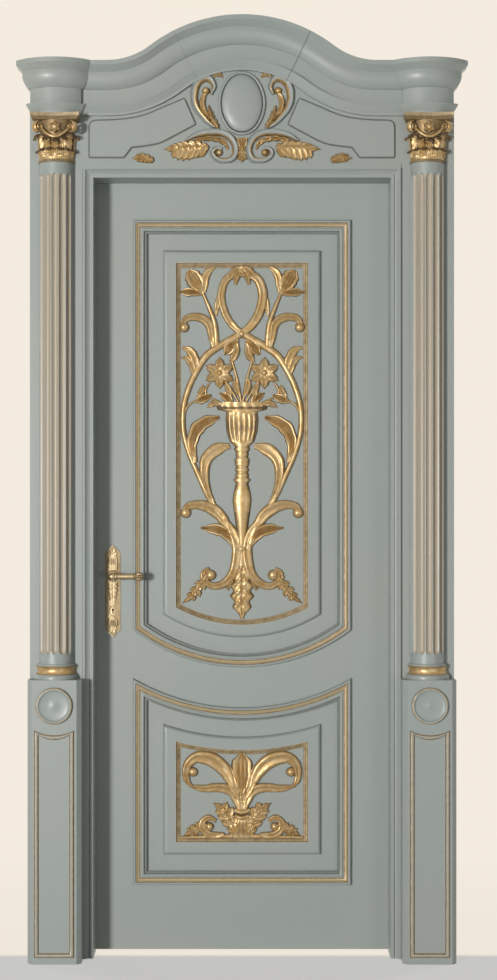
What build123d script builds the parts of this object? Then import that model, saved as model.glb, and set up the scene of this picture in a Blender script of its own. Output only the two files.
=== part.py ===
"""Lacquered and gilded interior door set: a carved leaf in a classical surround with half-columns.

Millimetres, +Z up, +X to the right of someone facing the door, -Y towards that person.
The origin is on the floor, in the middle of the doorway, in the plane of the wall's face.
"""
import os
from math import asin, atan, cos, degrees, pi, radians, sin, sqrt

from build123d import *

# Doorway, jambs and leaf
OPENING_W = 800.0
OPENING_H = 2100.0
JAMB_DEPTH = 120.0
JAMB_T = 40.0
REBATE_D = 12.0
LEAF_T = 45.0
LEAF_GAP = 3.0
FLOOR_GAP = 5.0
SEAL_T = 3.0
SEAL_W = 7.0
SEAL_INSET = 1.0
CUT_OVERRUN = 5.0

# Anchor holes through the jambs into the wall
FIXING_R = 5.0
FIXING_SPACING = 1500.0

# Casings in front and behind
CASING_W = 27.0
CASING_T = 22.0
CASING_FILLET_W = 9.0
CASING_FILLET_T = 17.0
CASING_LIP_W = 5.0
CASING_QUIRK_T = 13.0
CASING_HOLLOW_D = 2.0
HEAD_CASING_H = 37.0
REAR_CASING_W = 70.0
REAR_CASING_T = 15.0
REAR_REVEAL = 14.0

# Back boards and pedestals
BOARD_W = 143.0
BOARD_T = 18.0
PEDESTAL_H = 754.0
PEDESTAL_D = 66.0
PEDESTAL_CANT = 12.0
PANEL_FRAME_W = 106.0
PANEL_FRAME_BAND = 12.0
PANEL_FRAME_T = 5.0
PANEL_FRAME_FOOT = 18.0
PANEL_FRAME_TOP = 621.0
PANEL_FRAME_DIP = 13.0
ROSETTE_R = 49.0
ROSETTE_RIM_W = 8.0
ROSETTE_DISH_R = 35.0
ROSETTE_T = 9.0
ROSETTE_DISH_D = 5.0
ROSETTE_BUTTON_R = 11.0
ROSETTE_Z = 686.0

# Half-columns
BASE_FOOT_R = 58.0
BASE_FOOT_H = 13.0
BASE_RING_R = 54.0
BASE_HOLLOW_D = 4.0
BASE_RING_H = 22.0
BASE_CAP_R = 51.0
BASE_CAP_H = 6.0
SHAFT_R = 46.0
FLUTE_COUNT = 7
FLUTE_R = 9.5
FLUTE_D = 6.0
FLUTE_FOOT = 24.0
FLUTE_HEAD = 28.0

# Capitals
CAPITAL_H = 130.0
BELL_FOOT_R = 42.0
BELL_TOP_R = 50.0
ASTRAGAL_R = 47.0
ASTRAGAL_H = 9.0
ABACUS_H = 14.0
ABACUS_HALF_W = 65.0
ABACUS_D = 60.0
ABACUS_HOLLOW_D = 9.0
VOLUTE_R = 17.0
VOLUTE_T = 16.0
VOLUTE_OUT = 48.0
VOLUTE_FORWARD = 46.0
VOLUTE_SINK = 4.0
CAPITAL_FLOWER_R = 11.0
ACANTHUS_W = 15.0
ACANTHUS_H = 7.0
ACANTHUS_CURL = 15.0

# Cornice section, from its top lip down
CORNICE_RISE = 122.0
CORNICE_BAND_Y = 30.0
LIP_OUT = 36.0
LIP_H = 12.0
LIP_SLOPE_H = 16.0
OVOLO_OUT = 19.0
OVOLO_FOOT = 3.0
OVOLO_H = 44.0
BAND_H = 41.0
BEAD_OUT = 10.5
BEAD_H = 3.0
BEAD_SLOPE_H = 18.0
NECK_H = 6.0
CORNICE_ROOT = 12.0

# Arch of the cornice and the bowed blocks over the columns
ARCH_FLAT = 70.0
CROWN_RADIUS_SHARE = 0.68
CROWN_JOINT_SHARE = 0.72
CROWN_JOINT_GAP = 0.6
BLOCK_HALF_W = 68.0
BOW_R = 101.0
BOW_CENTRE_Y = 33.0
BOW_SPARE_DEG = 5.0

# Frieze
FRIEZE_H = 127.0
FRIEZE_FIELD_T = 5.0
BOSS_GAP = 1.5
BOSS_HALF_W = 55.0
BOSS_HALF_H = 77.0
BOSS_END_R = 44.0
BOSS_RING_W = 9.0
BOSS_RING_T = 9.0
BOSS_DOME_T = 17.0
BOSS_BEVEL_T = 7.0
BOSS_BEVEL_W = 22.0
SCROLL_T = 14.0
SCROLL_W = 11.0
SCROLL_BAND_W = 9.0

# Leaf frame and panels
STILE_SHOW = 102.0
TOP_RAIL_SHOW = 100.0
BOTTOM_RAIL_SHOW = 181.0
LOCK_RAIL_H = 109.0
SAG_CENTRE_Z = 1262.0
SAG_R = 486.0
TENON_CLEARANCE = 4.0
TENON_T = 15.0
TENON_SHOULDER = 20.0
MOULDING_W = 37.0
MOULDING_LAP = 15.0
MOULDING_EDGE_T = 4.0
MOULDING_CREST_T = 13.0
MOULDING_CREST_W = 12.0
MOULDING_BEAD_T = 3.0
MOULDING_BEAD_W = 6.0
PANEL_T = 25.0
FIELD_INSET = 85.0
FIELD_T = 13.0
FIELD_BEVEL = 10.0
RECESS_INSET = 38.0
RECESS_D = 17.0
CARVING_GROUND_T = 5.0
STEM_W = 7.0
LEAFLET_W = 13.0
FLOWER_R = 37.0
BUD_R = 11.0
DROP_W = 17.0
RELIEF_T = 11.0
RELIEF_SINK = 1.0
URN_T = 14.0

# Lock, levers and backplates
BACKSET = 56.0
LEVER_Z = 1026.0
KEY_DROP = 92.0
PLATE_W = 42.0
PLATE_H = 210.0
PLATE_T = 6.0
PLATE_EDGE_T = 1.5
PLATE_DROP = 41.0
FINIAL_H = 21.0
FINIAL_W = 20.0
COLLAR_R = 13.0
COLLAR_T = 11.0
NECK_R = 8.0
NECK_CLEARANCE = 0.3
LEVER_REACH = 44.0
LEVER_L = 86.0
LEVER_R = 7.0
LEVER_KNOB_R = 10.0
LEVER_KNOB_L = 22.0
SPINDLE_W = 8.0
SPINDLE_GRIP = 20.0
HUB_R = 13.0
KEYHOLE_R = 3.5
KEYHOLE_SLOT_W = 3.0
KEYHOLE_SLOT_H = 10.0
LOCK_CASE_H = 185.0
LOCK_CASE_D = 84.0
LOCK_CASE_T = 17.0
LOCK_WALL = 2.0
FOREND_H = 230.0
FOREND_W = 21.0
FOREND_T = 3.0
LOCK_DROP = 35.0
FIT_GAP = 0.2
BOLT_T = 11.0
LATCH_H = 26.0
LATCH_OUT = 11.0
LATCH_L = 40.0
LATCH_RISE = 30.0
LATCH_TRAVEL = 11.0
DEADBOLT_H = 32.0
DEADBOLT_L = 52.0
DEADBOLT_TRAVEL = 20.0
STRIKE_H = 205.0
STRIKE_W = 24.0
STRIKE_T = 2.0
POCKET_GAP = 1.5

# Hinges
HINGE_H = 102.0
HINGE_PLATE_W = 30.0
HINGE_PLATE_T = 2.5
KNUCKLE_R = 6.0
KNUCKLE_COUNT = 3
KNUCKLE_GAP = 0.5
HINGE_STANDOFF = 0.5
HINGE_PIN_R = 3.0
HINGE_PIN_CLEARANCE = 0.05
HINGE_CAP_R = 5.0
HINGE_CAP_H = 4.0
HINGE_END_DISTANCE = 230.0

# Points on the carved grounds, in pixels of the reference picture, for the left half.
# Each ground has its top left and bottom right corner.
UPPER_GROUND_PX = ((180.1, 267.0), (303.1, 622.0))
LOWER_GROUND_PX = ((180.1, 753.6), (303.1, 838.0))
LOOP_PX = ((237, 331), (226, 317), (222, 298), (227, 281), (240, 273))
MAIN_STEM_PX = (
    (237, 338), (221, 347), (208, 358), (200, 371), (192, 387), (187, 407),
    (187, 432), (193, 458), (203, 484), (216, 509),
)
FOOT_SCROLL_PX = ((217, 513), (230, 528), (234, 548), (229, 574), (219, 583), (209, 579), (207, 569))
TULIP_PX = (
    ((207, 293), (197, 283), (186, 272)),
    ((210, 292), (211, 282), (213, 271)),
    ((205, 297), (195, 299), (184, 294)),
)
TULIP_STEM_PX = ((209, 299), (214, 310), (217, 325), (217, 341))
SIDE_SCROLL_PX = ((213, 331), (206, 319), (196, 317), (188, 321), (186, 328))
LEAFLETS_PX = (
    ((197, 368), (194, 359), (184, 349)),
    ((197, 449), (204, 432), (218, 421)),
    ((202, 471), (209, 459), (230, 445)),
    ((222, 524), (213, 531), (202, 529)),
    ((212, 586), (199, 592), (184, 601)),
)
LOWER_LOOP_PX = ((210, 509), (201, 504), (191, 504), (186, 511))
FLOWERS_PX = ((220.6, 374),)
BUDS_PX = ((230, 353), (203, 399), (226, 398))
DROP_PX = ((0, 569), (0, 590), (0, 617))
URN_PX = ((25, 405), (25, 411), (16, 416), (13, 440), (6, 448), (6, 482), (9, 500), (4, 543), (5, 564))
LOWER_SCROLLS_PX = (
    ((231, 777), (220, 769), (203, 757), (190, 764), (187, 776), (193, 781)),
    ((229, 789), (210, 786), (195, 789)),
    ((229, 796), (222, 800), (213, 803)),
    ((233, 815), (220, 812), (209, 817), (208, 826), (216, 828)),
    ((205, 829), (196, 831), (185, 833)),
)
LOWER_LEAF_PX = ((0, 806), (0, 775), (0, 757))
LOWER_SKIRT_PX = ((0, 811), (0, 822), (0, 834))
FRIEZE_PX = ((81.9, 70.3), (400.5, 163.2))
FIELD_FOOT_PX = ((123.0, 156.6), (88.5, 156.6))
FIELD_SHOULDER_PX = ((88.5, 126), (90.2, 121.9), (94, 120.4))
FIELD_TOP_PX = ((94, 120.4), (121, 119.2), (143.5, 115), (162.6, 107), (183.4, 98.3))
FIELD_LOWER_PX = ((194.5, 123.6), (175, 134), (159, 142), (143.5, 145), (130.7, 146.5))
C_SCROLL_PX = ((211, 84), (203, 82), (196, 88), (194, 99), (198, 111), (204, 119), (208, 126))
VOLUTE_BAND_PX = (
    (186, 140), (198, 134), (211, 131), (224, 133), (232, 141), (234, 150),
    (230, 157), (222, 160), (214, 157), (211, 151), (215, 146), (220, 148),
)
FRIEZE_LEAVES_PX = (
    ((206, 158), (190, 148), (163, 149.5)),
    ((204, 161), (191, 159), (173, 160)),
    ((152, 161), (141, 157), (129, 158)),
)

# Places worked out from the sizes above
OPENING_HALF = OPENING_W / 2
STOP_D = JAMB_DEPTH - LEAF_T - SEAL_T
LEAF_FRONT_Y = JAMB_DEPTH - LEAF_T
LEAF_MID_Y = JAMB_DEPTH - LEAF_T / 2
REBATE_X = OPENING_HALF + REBATE_D
REBATE_Z = OPENING_H + REBATE_D
LEAF_HALF_W = REBATE_X - LEAF_GAP
LEAF_TOP_Z = REBATE_Z - LEAF_GAP
BOARD_X = OPENING_HALF + CASING_W
COLUMN_X = BOARD_X + BOARD_W / 2
BOARD_FRONT_Y = -BOARD_T
PEDESTAL_FRONT_Y = BOARD_FRONT_Y - PEDESTAL_D
BASE_TOP_Z = PEDESTAL_H + BASE_FOOT_H + BASE_RING_H + BASE_CAP_H
CORNICE_H = LIP_H + LIP_SLOPE_H + OVOLO_H + BAND_H + BEAD_H + BEAD_SLOPE_H + NECK_H
FRIEZE_FOOT_Z = OPENING_H + HEAD_CASING_H
CORNICE_FOOT_Z = FRIEZE_FOOT_Z + FRIEZE_H
CORNICE_TOP_Z = CORNICE_FOOT_Z + CORNICE_H
CAPITAL_FOOT_Z = CORNICE_FOOT_Z - CAPITAL_H
BLOCK_INNER_X = COLUMN_X - BLOCK_HALF_W
ARCH_HALF = BLOCK_INNER_X - ARCH_FLAT
ARCH_TURN = 2 * atan(CORNICE_RISE / ARCH_HALF)
ARCH_RADII = ARCH_HALF / sin(ARCH_TURN)
CROWN_R = CROWN_RADIUS_SHARE * ARCH_RADII
FLANK_R = ARCH_RADII - CROWN_R
CROWN_TOP_Z = CORNICE_TOP_Z + CORNICE_RISE
CROWN_UNDER_Z = CROWN_TOP_Z - CORNICE_H
CROWN_CENTRE_Z = CROWN_TOP_Z - CROWN_R
FLANK_CENTRE_Z = CORNICE_TOP_Z + FLANK_R
CROWN_JOINT = CROWN_JOINT_SHARE * ARCH_TURN
PANEL_HALF = OPENING_HALF - STILE_SHOW
UPPER_TOP_Z = OPENING_H - TOP_RAIL_SHOW
LOWER_SAG_R = SAG_R + LOCK_RAIL_H
GROUND_INSET = FIELD_INSET + RECESS_INSET
GROUND_HALF = PANEL_HALF - GROUND_INSET
STILE_INNER_X = PANEL_HALF - MOULDING_LAP
TENON_L = LEAF_HALF_W - FOREND_T - LOCK_CASE_D - TENON_CLEARANCE - STILE_INNER_X
PANEL_FRONT_Y = LEAF_MID_Y - PANEL_T / 2
PANEL_SETBACK = PANEL_FRONT_Y - LEAF_FRONT_Y
LEVER_X = -(LEAF_HALF_W - BACKSET)
KEY_Z = LEVER_Z - KEY_DROP
PLATE_Z = LEVER_Z - PLATE_DROP
LOCK_Z = LEVER_Z - LOCK_DROP
LATCH_Z = LEVER_Z + LATCH_RISE
HINGE_X = LEAF_HALF_W + LEAF_GAP / 2
HINGE_Y = JAMB_DEPTH + KNUCKLE_R + HINGE_STANDOFF
HINGE_HEIGHTS = (
    FLOOR_GAP + HINGE_END_DISTANCE,
    (FLOOR_GAP + LEAF_TOP_Z) / 2,
    LEAF_TOP_Z - HINGE_END_DISTANCE,
)
VIEWER = Vector(0, -1, 0)
UP = Vector(0, 0, 1)


# Helpers

def block(x0, x1, y0, y1, z0, z1):
    """A box between two corners."""
    return Pos((x0 + x1) / 2, (y0 + y1) / 2, (z0 + z1) / 2) * Box(abs(x1 - x0), abs(y1 - y0), abs(z1 - z0))


def rod(radius, start, direction, length):
    """A round bar from a point along a direction."""
    return Plane(origin=start, z_dir=direction) * extrude(Circle(radius), length)


def front_plane(y):
    """A drawing plane seen from the front: its x is X, its y is Z, its thickness goes to the viewer."""
    return Plane(origin=(0, y, 0), x_dir=(1, 0, 0), z_dir=VIEWER)


def slab(face, y_back, thickness):
    """A face drawn from the front, given a thickness towards the viewer."""
    return front_plane(y_back) * extrude(face, thickness)


def keep_side(solid, point, direction):
    """The part of a solid on one side of a plane through a point."""
    return split(solid, bisect_by=Plane(origin=point, z_dir=direction), keep=Keep.TOP)


def outline(*edges):
    """A closed face from edges given in order."""
    line = Curve()
    for edge in edges:
        line += edge
    return make_face(line)


def both_sides(shape):
    """A shape and its mirror image across the middle of the doorway."""
    return [shape, mirror(shape, about=Plane.YZ)]


def write(name, *shapes):
    """Writes one sub-part with all its solids."""
    solids = [solid for shape in shapes for solid in shape.solids()]
    whole = solids[0] if len(solids) == 1 else Compound(solids)
    export_step(whole, f"parts/{name}.step")
    print(name, len(solids), round(sum(solid.volume for solid in solids)))


def ridge(points, outward, widths, height, sink, stations):
    """A leaf or stem with a sharp ridge: triangles set square to a smooth path, lofted straight.

    Half the width goes from the first value through the second at mid length to the third.
    """
    path = Spline(*points)
    sections = []
    for step in range(stations + 1):
        t = step / stations
        place = path.position_at(t)
        ahead = path.tangent_at(t)
        across = ahead.cross(outward).normalized()
        first, middle, last = widths
        half = first + (middle - first) * 2 * t if t < 1 / 2 else middle + (last - middle) * (2 * t - 1)
        crest = height * (1 + half / max(widths)) / 2
        corners = (
            place - across * half - outward * sink,
            place + outward * crest,
            place + across * half - outward * sink,
        )
        sections.append(make_face(Polyline(*corners, close=True)))
    return loft(sections, ruled=True)


# Frame

def jamb():
    """Right jamb, rebated behind the stop, with anchor holes."""
    section = Polyline(
        (OPENING_HALF, 0), (OPENING_HALF + JAMB_T, 0), (OPENING_HALF + JAMB_T, JAMB_DEPTH),
        (REBATE_X, JAMB_DEPTH), (REBATE_X, STOP_D), (OPENING_HALF, STOP_D), close=True,
    )
    solid = extrude(make_face(section), OPENING_H + JAMB_T)
    for side in (-1, 1):
        z = OPENING_H / 2 + side * FIXING_SPACING / 2
        start = (OPENING_HALF - CUT_OVERRUN, STOP_D / 2, z)
        solid -= rod(FIXING_R, start, (1, 0, 0), JAMB_T + 2 * CUT_OVERRUN)
    return solid


def hinge_recess(x, side):
    """Room for the let-in plates of the three hinges, cut from a face at x towards side."""
    y0 = JAMB_DEPTH - HINGE_PLATE_W
    cuts = []
    for z in HINGE_HEIGHTS:
        x1 = x + side * HINGE_PLATE_T
        cuts.append(block(x, x1, y0, JAMB_DEPTH, z - HINGE_H / 2, z + HINGE_H / 2))
    return cuts


def bolt_room(height, z, gap):
    """Room for one bolt in front of the leaf's lock edge."""
    half_t = BOLT_T / 2 + gap
    half_h = height / 2 + gap
    depth = LEAF_GAP + DEADBOLT_TRAVEL + gap
    x = -LEAF_HALF_W
    return block(x - depth, x, LEAF_MID_Y - half_t, LEAF_MID_Y + half_t, z - half_h, z + half_h)


def strike_block(gap):
    """The strike plate's block in the rebate face of the lock jamb."""
    half = STRIKE_W / 2 + gap
    tall = STRIKE_H / 2 + gap
    y0, y1 = LEAF_MID_Y - half, LEAF_MID_Y + half
    return block(-REBATE_X - STRIKE_T, -REBATE_X, y0, y1, LOCK_Z - tall, LOCK_Z + tall)


def bolt_rooms():
    """Room for the latch and the deadbolt together."""
    return [bolt_room(LATCH_H, LATCH_Z, POCKET_GAP), bolt_room(DEADBOLT_H, KEY_Z, POCKET_GAP)]


def frame_lining():
    """Jambs, head, seal and strike plate."""
    right = jamb()
    left = mirror(right, about=Plane.YZ)
    write("jamb_hinge_side", right - hinge_recess(REBATE_X, 1))
    write("jamb_lock_side", left - [strike_block(FIT_GAP), *bolt_rooms()])
    head = block(-OPENING_HALF, OPENING_HALF, 0, STOP_D, OPENING_H, OPENING_H + JAMB_T)
    head += block(-REBATE_X, REBATE_X, STOP_D, JAMB_DEPTH, REBATE_Z, OPENING_H + JAMB_T)
    write("head_jamb", head)
    x0 = OPENING_HALF + SEAL_INSET
    z0 = OPENING_H + SEAL_INSET
    side_seal = block(x0, x0 + SEAL_W, STOP_D, LEAF_FRONT_Y, 0, OPENING_H)
    head_seal = block(-OPENING_HALF, OPENING_HALF, STOP_D, LEAF_FRONT_Y, z0, z0 + SEAL_W)
    # The side seals stop below the head, where the head seal lies on the head's own stop.
    write("rebate_seals", *both_sides(side_seal), head_seal)
    write("strike_plate", strike_block(0) - bolt_rooms())


def casing_face(extra):
    """Casing section: fillet at the doorway, quirk, hollow and outer lip, with a flat strip beyond."""
    lip_x = CASING_W - CASING_LIP_W
    hollow_mid = ((CASING_FILLET_W + lip_x) / 2, (CASING_QUIRK_T + CASING_T) / 2 - CASING_HOLLOW_D)
    return outline(
        Polyline((CASING_FILLET_W, CASING_QUIRK_T), (CASING_FILLET_W, CASING_FILLET_T),
                 (0, CASING_FILLET_T), (0, 0), (CASING_W + extra, 0), (CASING_W + extra, CASING_T),
                 (lip_x, CASING_T)),
        ThreePointArc((lip_x, CASING_T), hollow_mid, (CASING_FILLET_W, CASING_QUIRK_T)),
    )


def casings():
    """Moulded casings in front of the jambs, mitred at the head, and plain ones behind."""
    top = OPENING_H + CASING_W
    corner = (OPENING_HALF, 0, OPENING_H)
    downward = Plane(origin=(OPENING_HALF, 0, top), x_dir=(1, 0, 0), z_dir=(0, 0, -1))
    upright = keep_side(downward * extrude(casing_face(0), top), corner, (1, 0, -1))
    write("casing_right", upright)
    write("casing_left", mirror(upright, about=Plane.YZ))
    across = Plane(origin=(-BOARD_X, 0, OPENING_H), x_dir=(0, 0, 1), z_dir=(1, 0, 0))
    head = across * extrude(casing_face(HEAD_CASING_H - CASING_W), 2 * BOARD_X)
    head = keep_side(head, corner, (-1, 0, 1))
    head = keep_side(head, (-OPENING_HALF, 0, OPENING_H), (1, 0, 1))
    write("casing_head", head)
    inner = REBATE_X + REAR_REVEAL
    inner_z = REBATE_Z + REAR_REVEAL
    outer = inner + REAR_CASING_W
    back = JAMB_DEPTH + REAR_CASING_T
    rear = block(inner, outer, JAMB_DEPTH, back, 0, inner_z)
    write("rear_casing_right", rear)
    write("rear_casing_left", mirror(rear, about=Plane.YZ))
    write("rear_casing_head", block(-outer, outer, JAMB_DEPTH, back, inner_z, inner_z + REAR_CASING_W))


# Pilasters

def pedestal():
    """Pedestal block with canted front edges."""
    half = BOARD_W / 2
    front = half - PEDESTAL_CANT
    y_cant = PEDESTAL_FRONT_Y + PEDESTAL_CANT
    plan = Polyline(
        (-half, BOARD_FRONT_Y), (half, BOARD_FRONT_Y), (half, y_cant), (front, PEDESTAL_FRONT_Y),
        (-front, PEDESTAL_FRONT_Y), (-half, y_cant), close=True,
    )
    return Pos(COLUMN_X, 0, 0) * extrude(make_face(plan), PEDESTAL_H)


def dipped_outline(half, foot, top, dip):
    """An upright field whose top edge dips in the middle."""
    return outline(
        Polyline((half, top), (half, foot), (-half, foot), (-half, top)),
        ThreePointArc((-half, top), (0, top - dip), (half, top)),
    )


def panel_frame():
    """Gilded frame on the pedestal's front."""
    half = PANEL_FRAME_W / 2
    band = PANEL_FRAME_BAND
    face = dipped_outline(half, PANEL_FRAME_FOOT, PANEL_FRAME_TOP, PANEL_FRAME_DIP)
    face -= dipped_outline(half - band, PANEL_FRAME_FOOT + band, PANEL_FRAME_TOP - band, PANEL_FRAME_DIP)
    return Pos(COLUMN_X, 0, 0) * slab(face, PEDESTAL_FRONT_Y, PANEL_FRAME_T)


def rosette():
    """Turned rosette: raised rim, dished middle, low button."""
    rim_in = ROSETTE_R - ROSETTE_RIM_W
    floor = ROSETTE_T - ROSETTE_DISH_D
    section = Polyline(
        (0, 0), (ROSETTE_R, 0), (ROSETTE_R, floor), (rim_in + ROSETTE_RIM_W / 2, ROSETTE_T),
        (rim_in, ROSETTE_T), (ROSETTE_DISH_R, floor), (ROSETTE_BUTTON_R, floor),
        (ROSETTE_BUTTON_R / 2, ROSETTE_T), (0, ROSETTE_T), close=True,
    )
    turned = revolve(Plane.XZ * make_face(section), Axis.Z)
    return Plane(origin=(COLUMN_X, PEDESTAL_FRONT_Y, ROSETTE_Z), x_dir=(1, 0, 0), z_dir=VIEWER) * turned


def half_turn(section):
    """A half-round piece on the back board, from a section in radius and height."""
    face = Plane(origin=(COLUMN_X, BOARD_FRONT_Y, 0), x_dir=(-1, 0, 0), z_dir=(0, 1, 0)) * section
    return revolve(face, Axis((COLUMN_X, BOARD_FRONT_Y, 0), (0, 0, 1)), 180)


def column_base():
    """Base of the half-column: spreading foot, hollow ring and cap."""
    z_ring = PEDESTAL_H + BASE_FOOT_H
    z_cap = z_ring + BASE_RING_H
    section = outline(
        Polyline((BASE_RING_R, z_ring), (BASE_FOOT_R, z_ring - BASE_FOOT_H / 2), (BASE_FOOT_R, PEDESTAL_H),
                 (0, PEDESTAL_H), (0, BASE_TOP_Z), (BASE_CAP_R, BASE_TOP_Z), (BASE_CAP_R, z_cap),
                 (BASE_RING_R, z_cap)),
        ThreePointArc((BASE_RING_R, z_cap), (BASE_RING_R - BASE_HOLLOW_D, z_cap - BASE_RING_H / 2),
                      (BASE_RING_R, z_ring)),
    )
    return half_turn(section)


def column_shaft():
    """Half-round shaft with flutes that stop short of both ends."""
    height = CAPITAL_FOOT_Z - BASE_TOP_Z
    section = outline(
        Line((-SHAFT_R, 0), (SHAFT_R, 0)),
        ThreePointArc((SHAFT_R, 0), (0, -SHAFT_R), (-SHAFT_R, 0)),
    )
    shaft = Pos(COLUMN_X, BOARD_FRONT_Y, BASE_TOP_Z) * extrude(section, height)
    reach = SHAFT_R - FLUTE_D + FLUTE_R
    flutes = []
    for index in range(FLUTE_COUNT):
        angle = pi * (index + 1 / 2) / FLUTE_COUNT
        x = COLUMN_X + reach * cos(angle)
        y = BOARD_FRONT_Y - reach * sin(angle)
        flutes.append(rod(FLUTE_R, (x, y, BASE_TOP_Z + FLUTE_FOOT), UP, height - FLUTE_FOOT - FLUTE_HEAD))
    return shaft - flutes


def capital():
    """Carved capital: bell, astragal, abacus with hollow front, corner volutes, flower, acanthus leaves."""
    z0 = CAPITAL_FOOT_Z
    z_abacus = CORNICE_FOOT_Z - ABACUS_H
    bell = outline(Polyline(
        (0, z0), (ASTRAGAL_R, z0), (ASTRAGAL_R, z0 + ASTRAGAL_H), (BELL_FOOT_R, z0 + 2 * ASTRAGAL_H),
        (BELL_TOP_R, z_abacus), (0, z_abacus), close=True,
    ))
    solid = half_turn(bell)
    front = -ABACUS_D
    plan = outline(
        Polyline((ABACUS_HALF_W, front), (ABACUS_HALF_W, 0), (-ABACUS_HALF_W, 0), (-ABACUS_HALF_W, front)),
        ThreePointArc((-ABACUS_HALF_W, front), (0, front + ABACUS_HOLLOW_D), (ABACUS_HALF_W, front)),
    )
    solid += Pos(COLUMN_X, BOARD_FRONT_Y, z_abacus) * extrude(plan, ABACUS_H)
    for side in (-1, 1):
        outward = Vector(side, -1, 0).normalized()
        cheek = Vector(-outward.Y, outward.X, 0)
        z = z_abacus - VOLUTE_R + VOLUTE_SINK
        centre = Vector(COLUMN_X + side * VOLUTE_OUT, BOARD_FRONT_Y - VOLUTE_FORWARD, z)
        solid += rod(VOLUTE_R, centre - cheek * (VOLUTE_T / 2), cheek, VOLUTE_T)
    flower = Vector(COLUMN_X, BOARD_FRONT_Y - BELL_TOP_R, z_abacus)
    solid += rod(CAPITAL_FLOWER_R, flower, VIEWER, ABACUS_D - BELL_TOP_R)
    tall = CAPITAL_H - ABACUS_H - VOLUTE_R
    for angle, lift in ((-60, 0), (-30, 1), (0, 0), (30, 1), (60, 0)):
        outward = Vector(sin(radians(angle)), -cos(radians(angle)), 0)
        axis = Vector(COLUMN_X, BOARD_FRONT_Y, z0 + ASTRAGAL_H)
        top = tall * (1 / 2 + lift / 3)
        points = (
            axis + outward * BELL_FOOT_R,
            axis + outward * BELL_FOOT_R + UP * (top / 2),
            axis + outward * (BELL_FOOT_R + ACANTHUS_CURL / 2) + UP * (top - ACANTHUS_CURL / 2),
            axis + outward * (BELL_FOOT_R + ACANTHUS_CURL) + UP * top,
        )
        widths = (ACANTHUS_W / 2, ACANTHUS_W, ACANTHUS_W / 3)
        solid += ridge(points, outward, widths, ACANTHUS_H, ACANTHUS_H, 4)
    return keep_side(solid, (COLUMN_X, BOARD_FRONT_Y, 0), VIEWER)


def pilasters():
    """Everything that stands beside the doorway, on both sides."""
    board = block(BOARD_X, BOARD_X + BOARD_W, BOARD_FRONT_Y, 0, 0, CORNICE_FOOT_Z)
    for name, make in (("pedestal", pedestal), ("column_shaft", column_shaft)):
        right, left = both_sides(make())
        write(f"{name}_right", right)
        write(f"{name}_left", left)
    write("back_board_right", board)
    write("back_board_left", mirror(board, about=Plane.YZ))
    write("pedestal_panel_frames", *both_sides(panel_frame()))
    write("pedestal_rosettes", *both_sides(rosette()))
    write("column_bases", *both_sides(column_base()))
    write("capitals", *both_sides(capital()))


# Cornice and frieze

def cornice_face(depth):
    """Cornice section: x is how far it stands out from the band, y is the height below its top."""
    z_slope = -LIP_H - LIP_SLOPE_H
    z_ovolo = z_slope - OVOLO_H
    z_band = z_ovolo - BAND_H
    z_bead = z_band - BEAD_H
    z_neck = z_bead - BEAD_SLOPE_H
    swell = OVOLO_OUT - OVOLO_FOOT
    belly = (OVOLO_FOOT + swell * cos(pi / 4), z_slope - OVOLO_H * sin(pi / 4))
    return outline(
        Polyline((OVOLO_FOOT, z_ovolo), (0, z_ovolo), (0, z_band), (BEAD_OUT, z_band), (BEAD_OUT, z_bead),
                 (0, z_neck), (0, -CORNICE_H), (-depth, -CORNICE_H), (-depth, 0), (LIP_OUT, 0),
                 (LIP_OUT, -LIP_H), (OVOLO_OUT, z_slope)),
        ThreePointArc((OVOLO_OUT, z_slope), belly, (OVOLO_FOOT, z_ovolo)),
    )


def section_at(x, z):
    """The cornice section of the middle run, standing on the wall's plane."""
    across = Plane(origin=(x, -CORNICE_BAND_Y, z), x_dir=VIEWER, z_dir=(-1, 0, 0))
    return across * cornice_face(CORNICE_BAND_Y)


def bowed_block():
    """Block over the right column: bowed front and two returns, mitred at the corners."""
    section = cornice_face(CORNICE_ROOT)
    wide = BLOCK_HALF_W + LIP_OUT
    y_corner = BOW_CENTRE_Y - sqrt(BOW_R ** 2 - BLOCK_HALF_W ** 2)
    y_tip = BOW_CENTRE_Y - sqrt((BOW_R + LIP_OUT) ** 2 - wide ** 2)
    plan = outline(
        Polyline((BLOCK_HALF_W, y_corner), (BLOCK_HALF_W, 0), (-BLOCK_HALF_W, 0),
                 (-BLOCK_HALF_W, y_corner)),
        ThreePointArc((-BLOCK_HALF_W, y_corner), (0, BOW_CENTRE_Y - BOW_R), (BLOCK_HALF_W, y_corner)),
    )
    solid = Pos(0, 0, CORNICE_FOOT_Z) * extrude(plan, CORNICE_H)
    corner = Vector(BLOCK_HALF_W, y_corner, 0)
    across = Vector(y_corner - y_tip, wide - BLOCK_HALF_W, 0)
    axis = Axis((0, BOW_CENTRE_Y, 0), (0, 0, 1))
    half_turn_deg = degrees(asin(wide / (BOW_R + LIP_OUT))) + BOW_SPARE_DEG
    bow = Plane(origin=(0, BOW_CENTRE_Y - BOW_R, CORNICE_TOP_Z), x_dir=VIEWER, z_dir=(-1, 0, 0)) * section
    bow = revolve(bow.rotate(axis, -half_turn_deg), axis, 2 * half_turn_deg)
    bow = keep_side(bow, corner, -across)
    bow = keep_side(bow, (-corner.X, corner.Y, 0), (across.X, -across.Y, 0))
    side = Plane(origin=(BLOCK_HALF_W, 0, CORNICE_TOP_Z), x_dir=(1, 0, 0), z_dir=VIEWER)
    side = side * extrude(section, -y_tip + CUT_OVERRUN)
    side = keep_side(side, corner, across)
    solid += [bow, *both_sides(side)]
    return Pos(COLUMN_X, 0, 0) * solid


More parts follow.
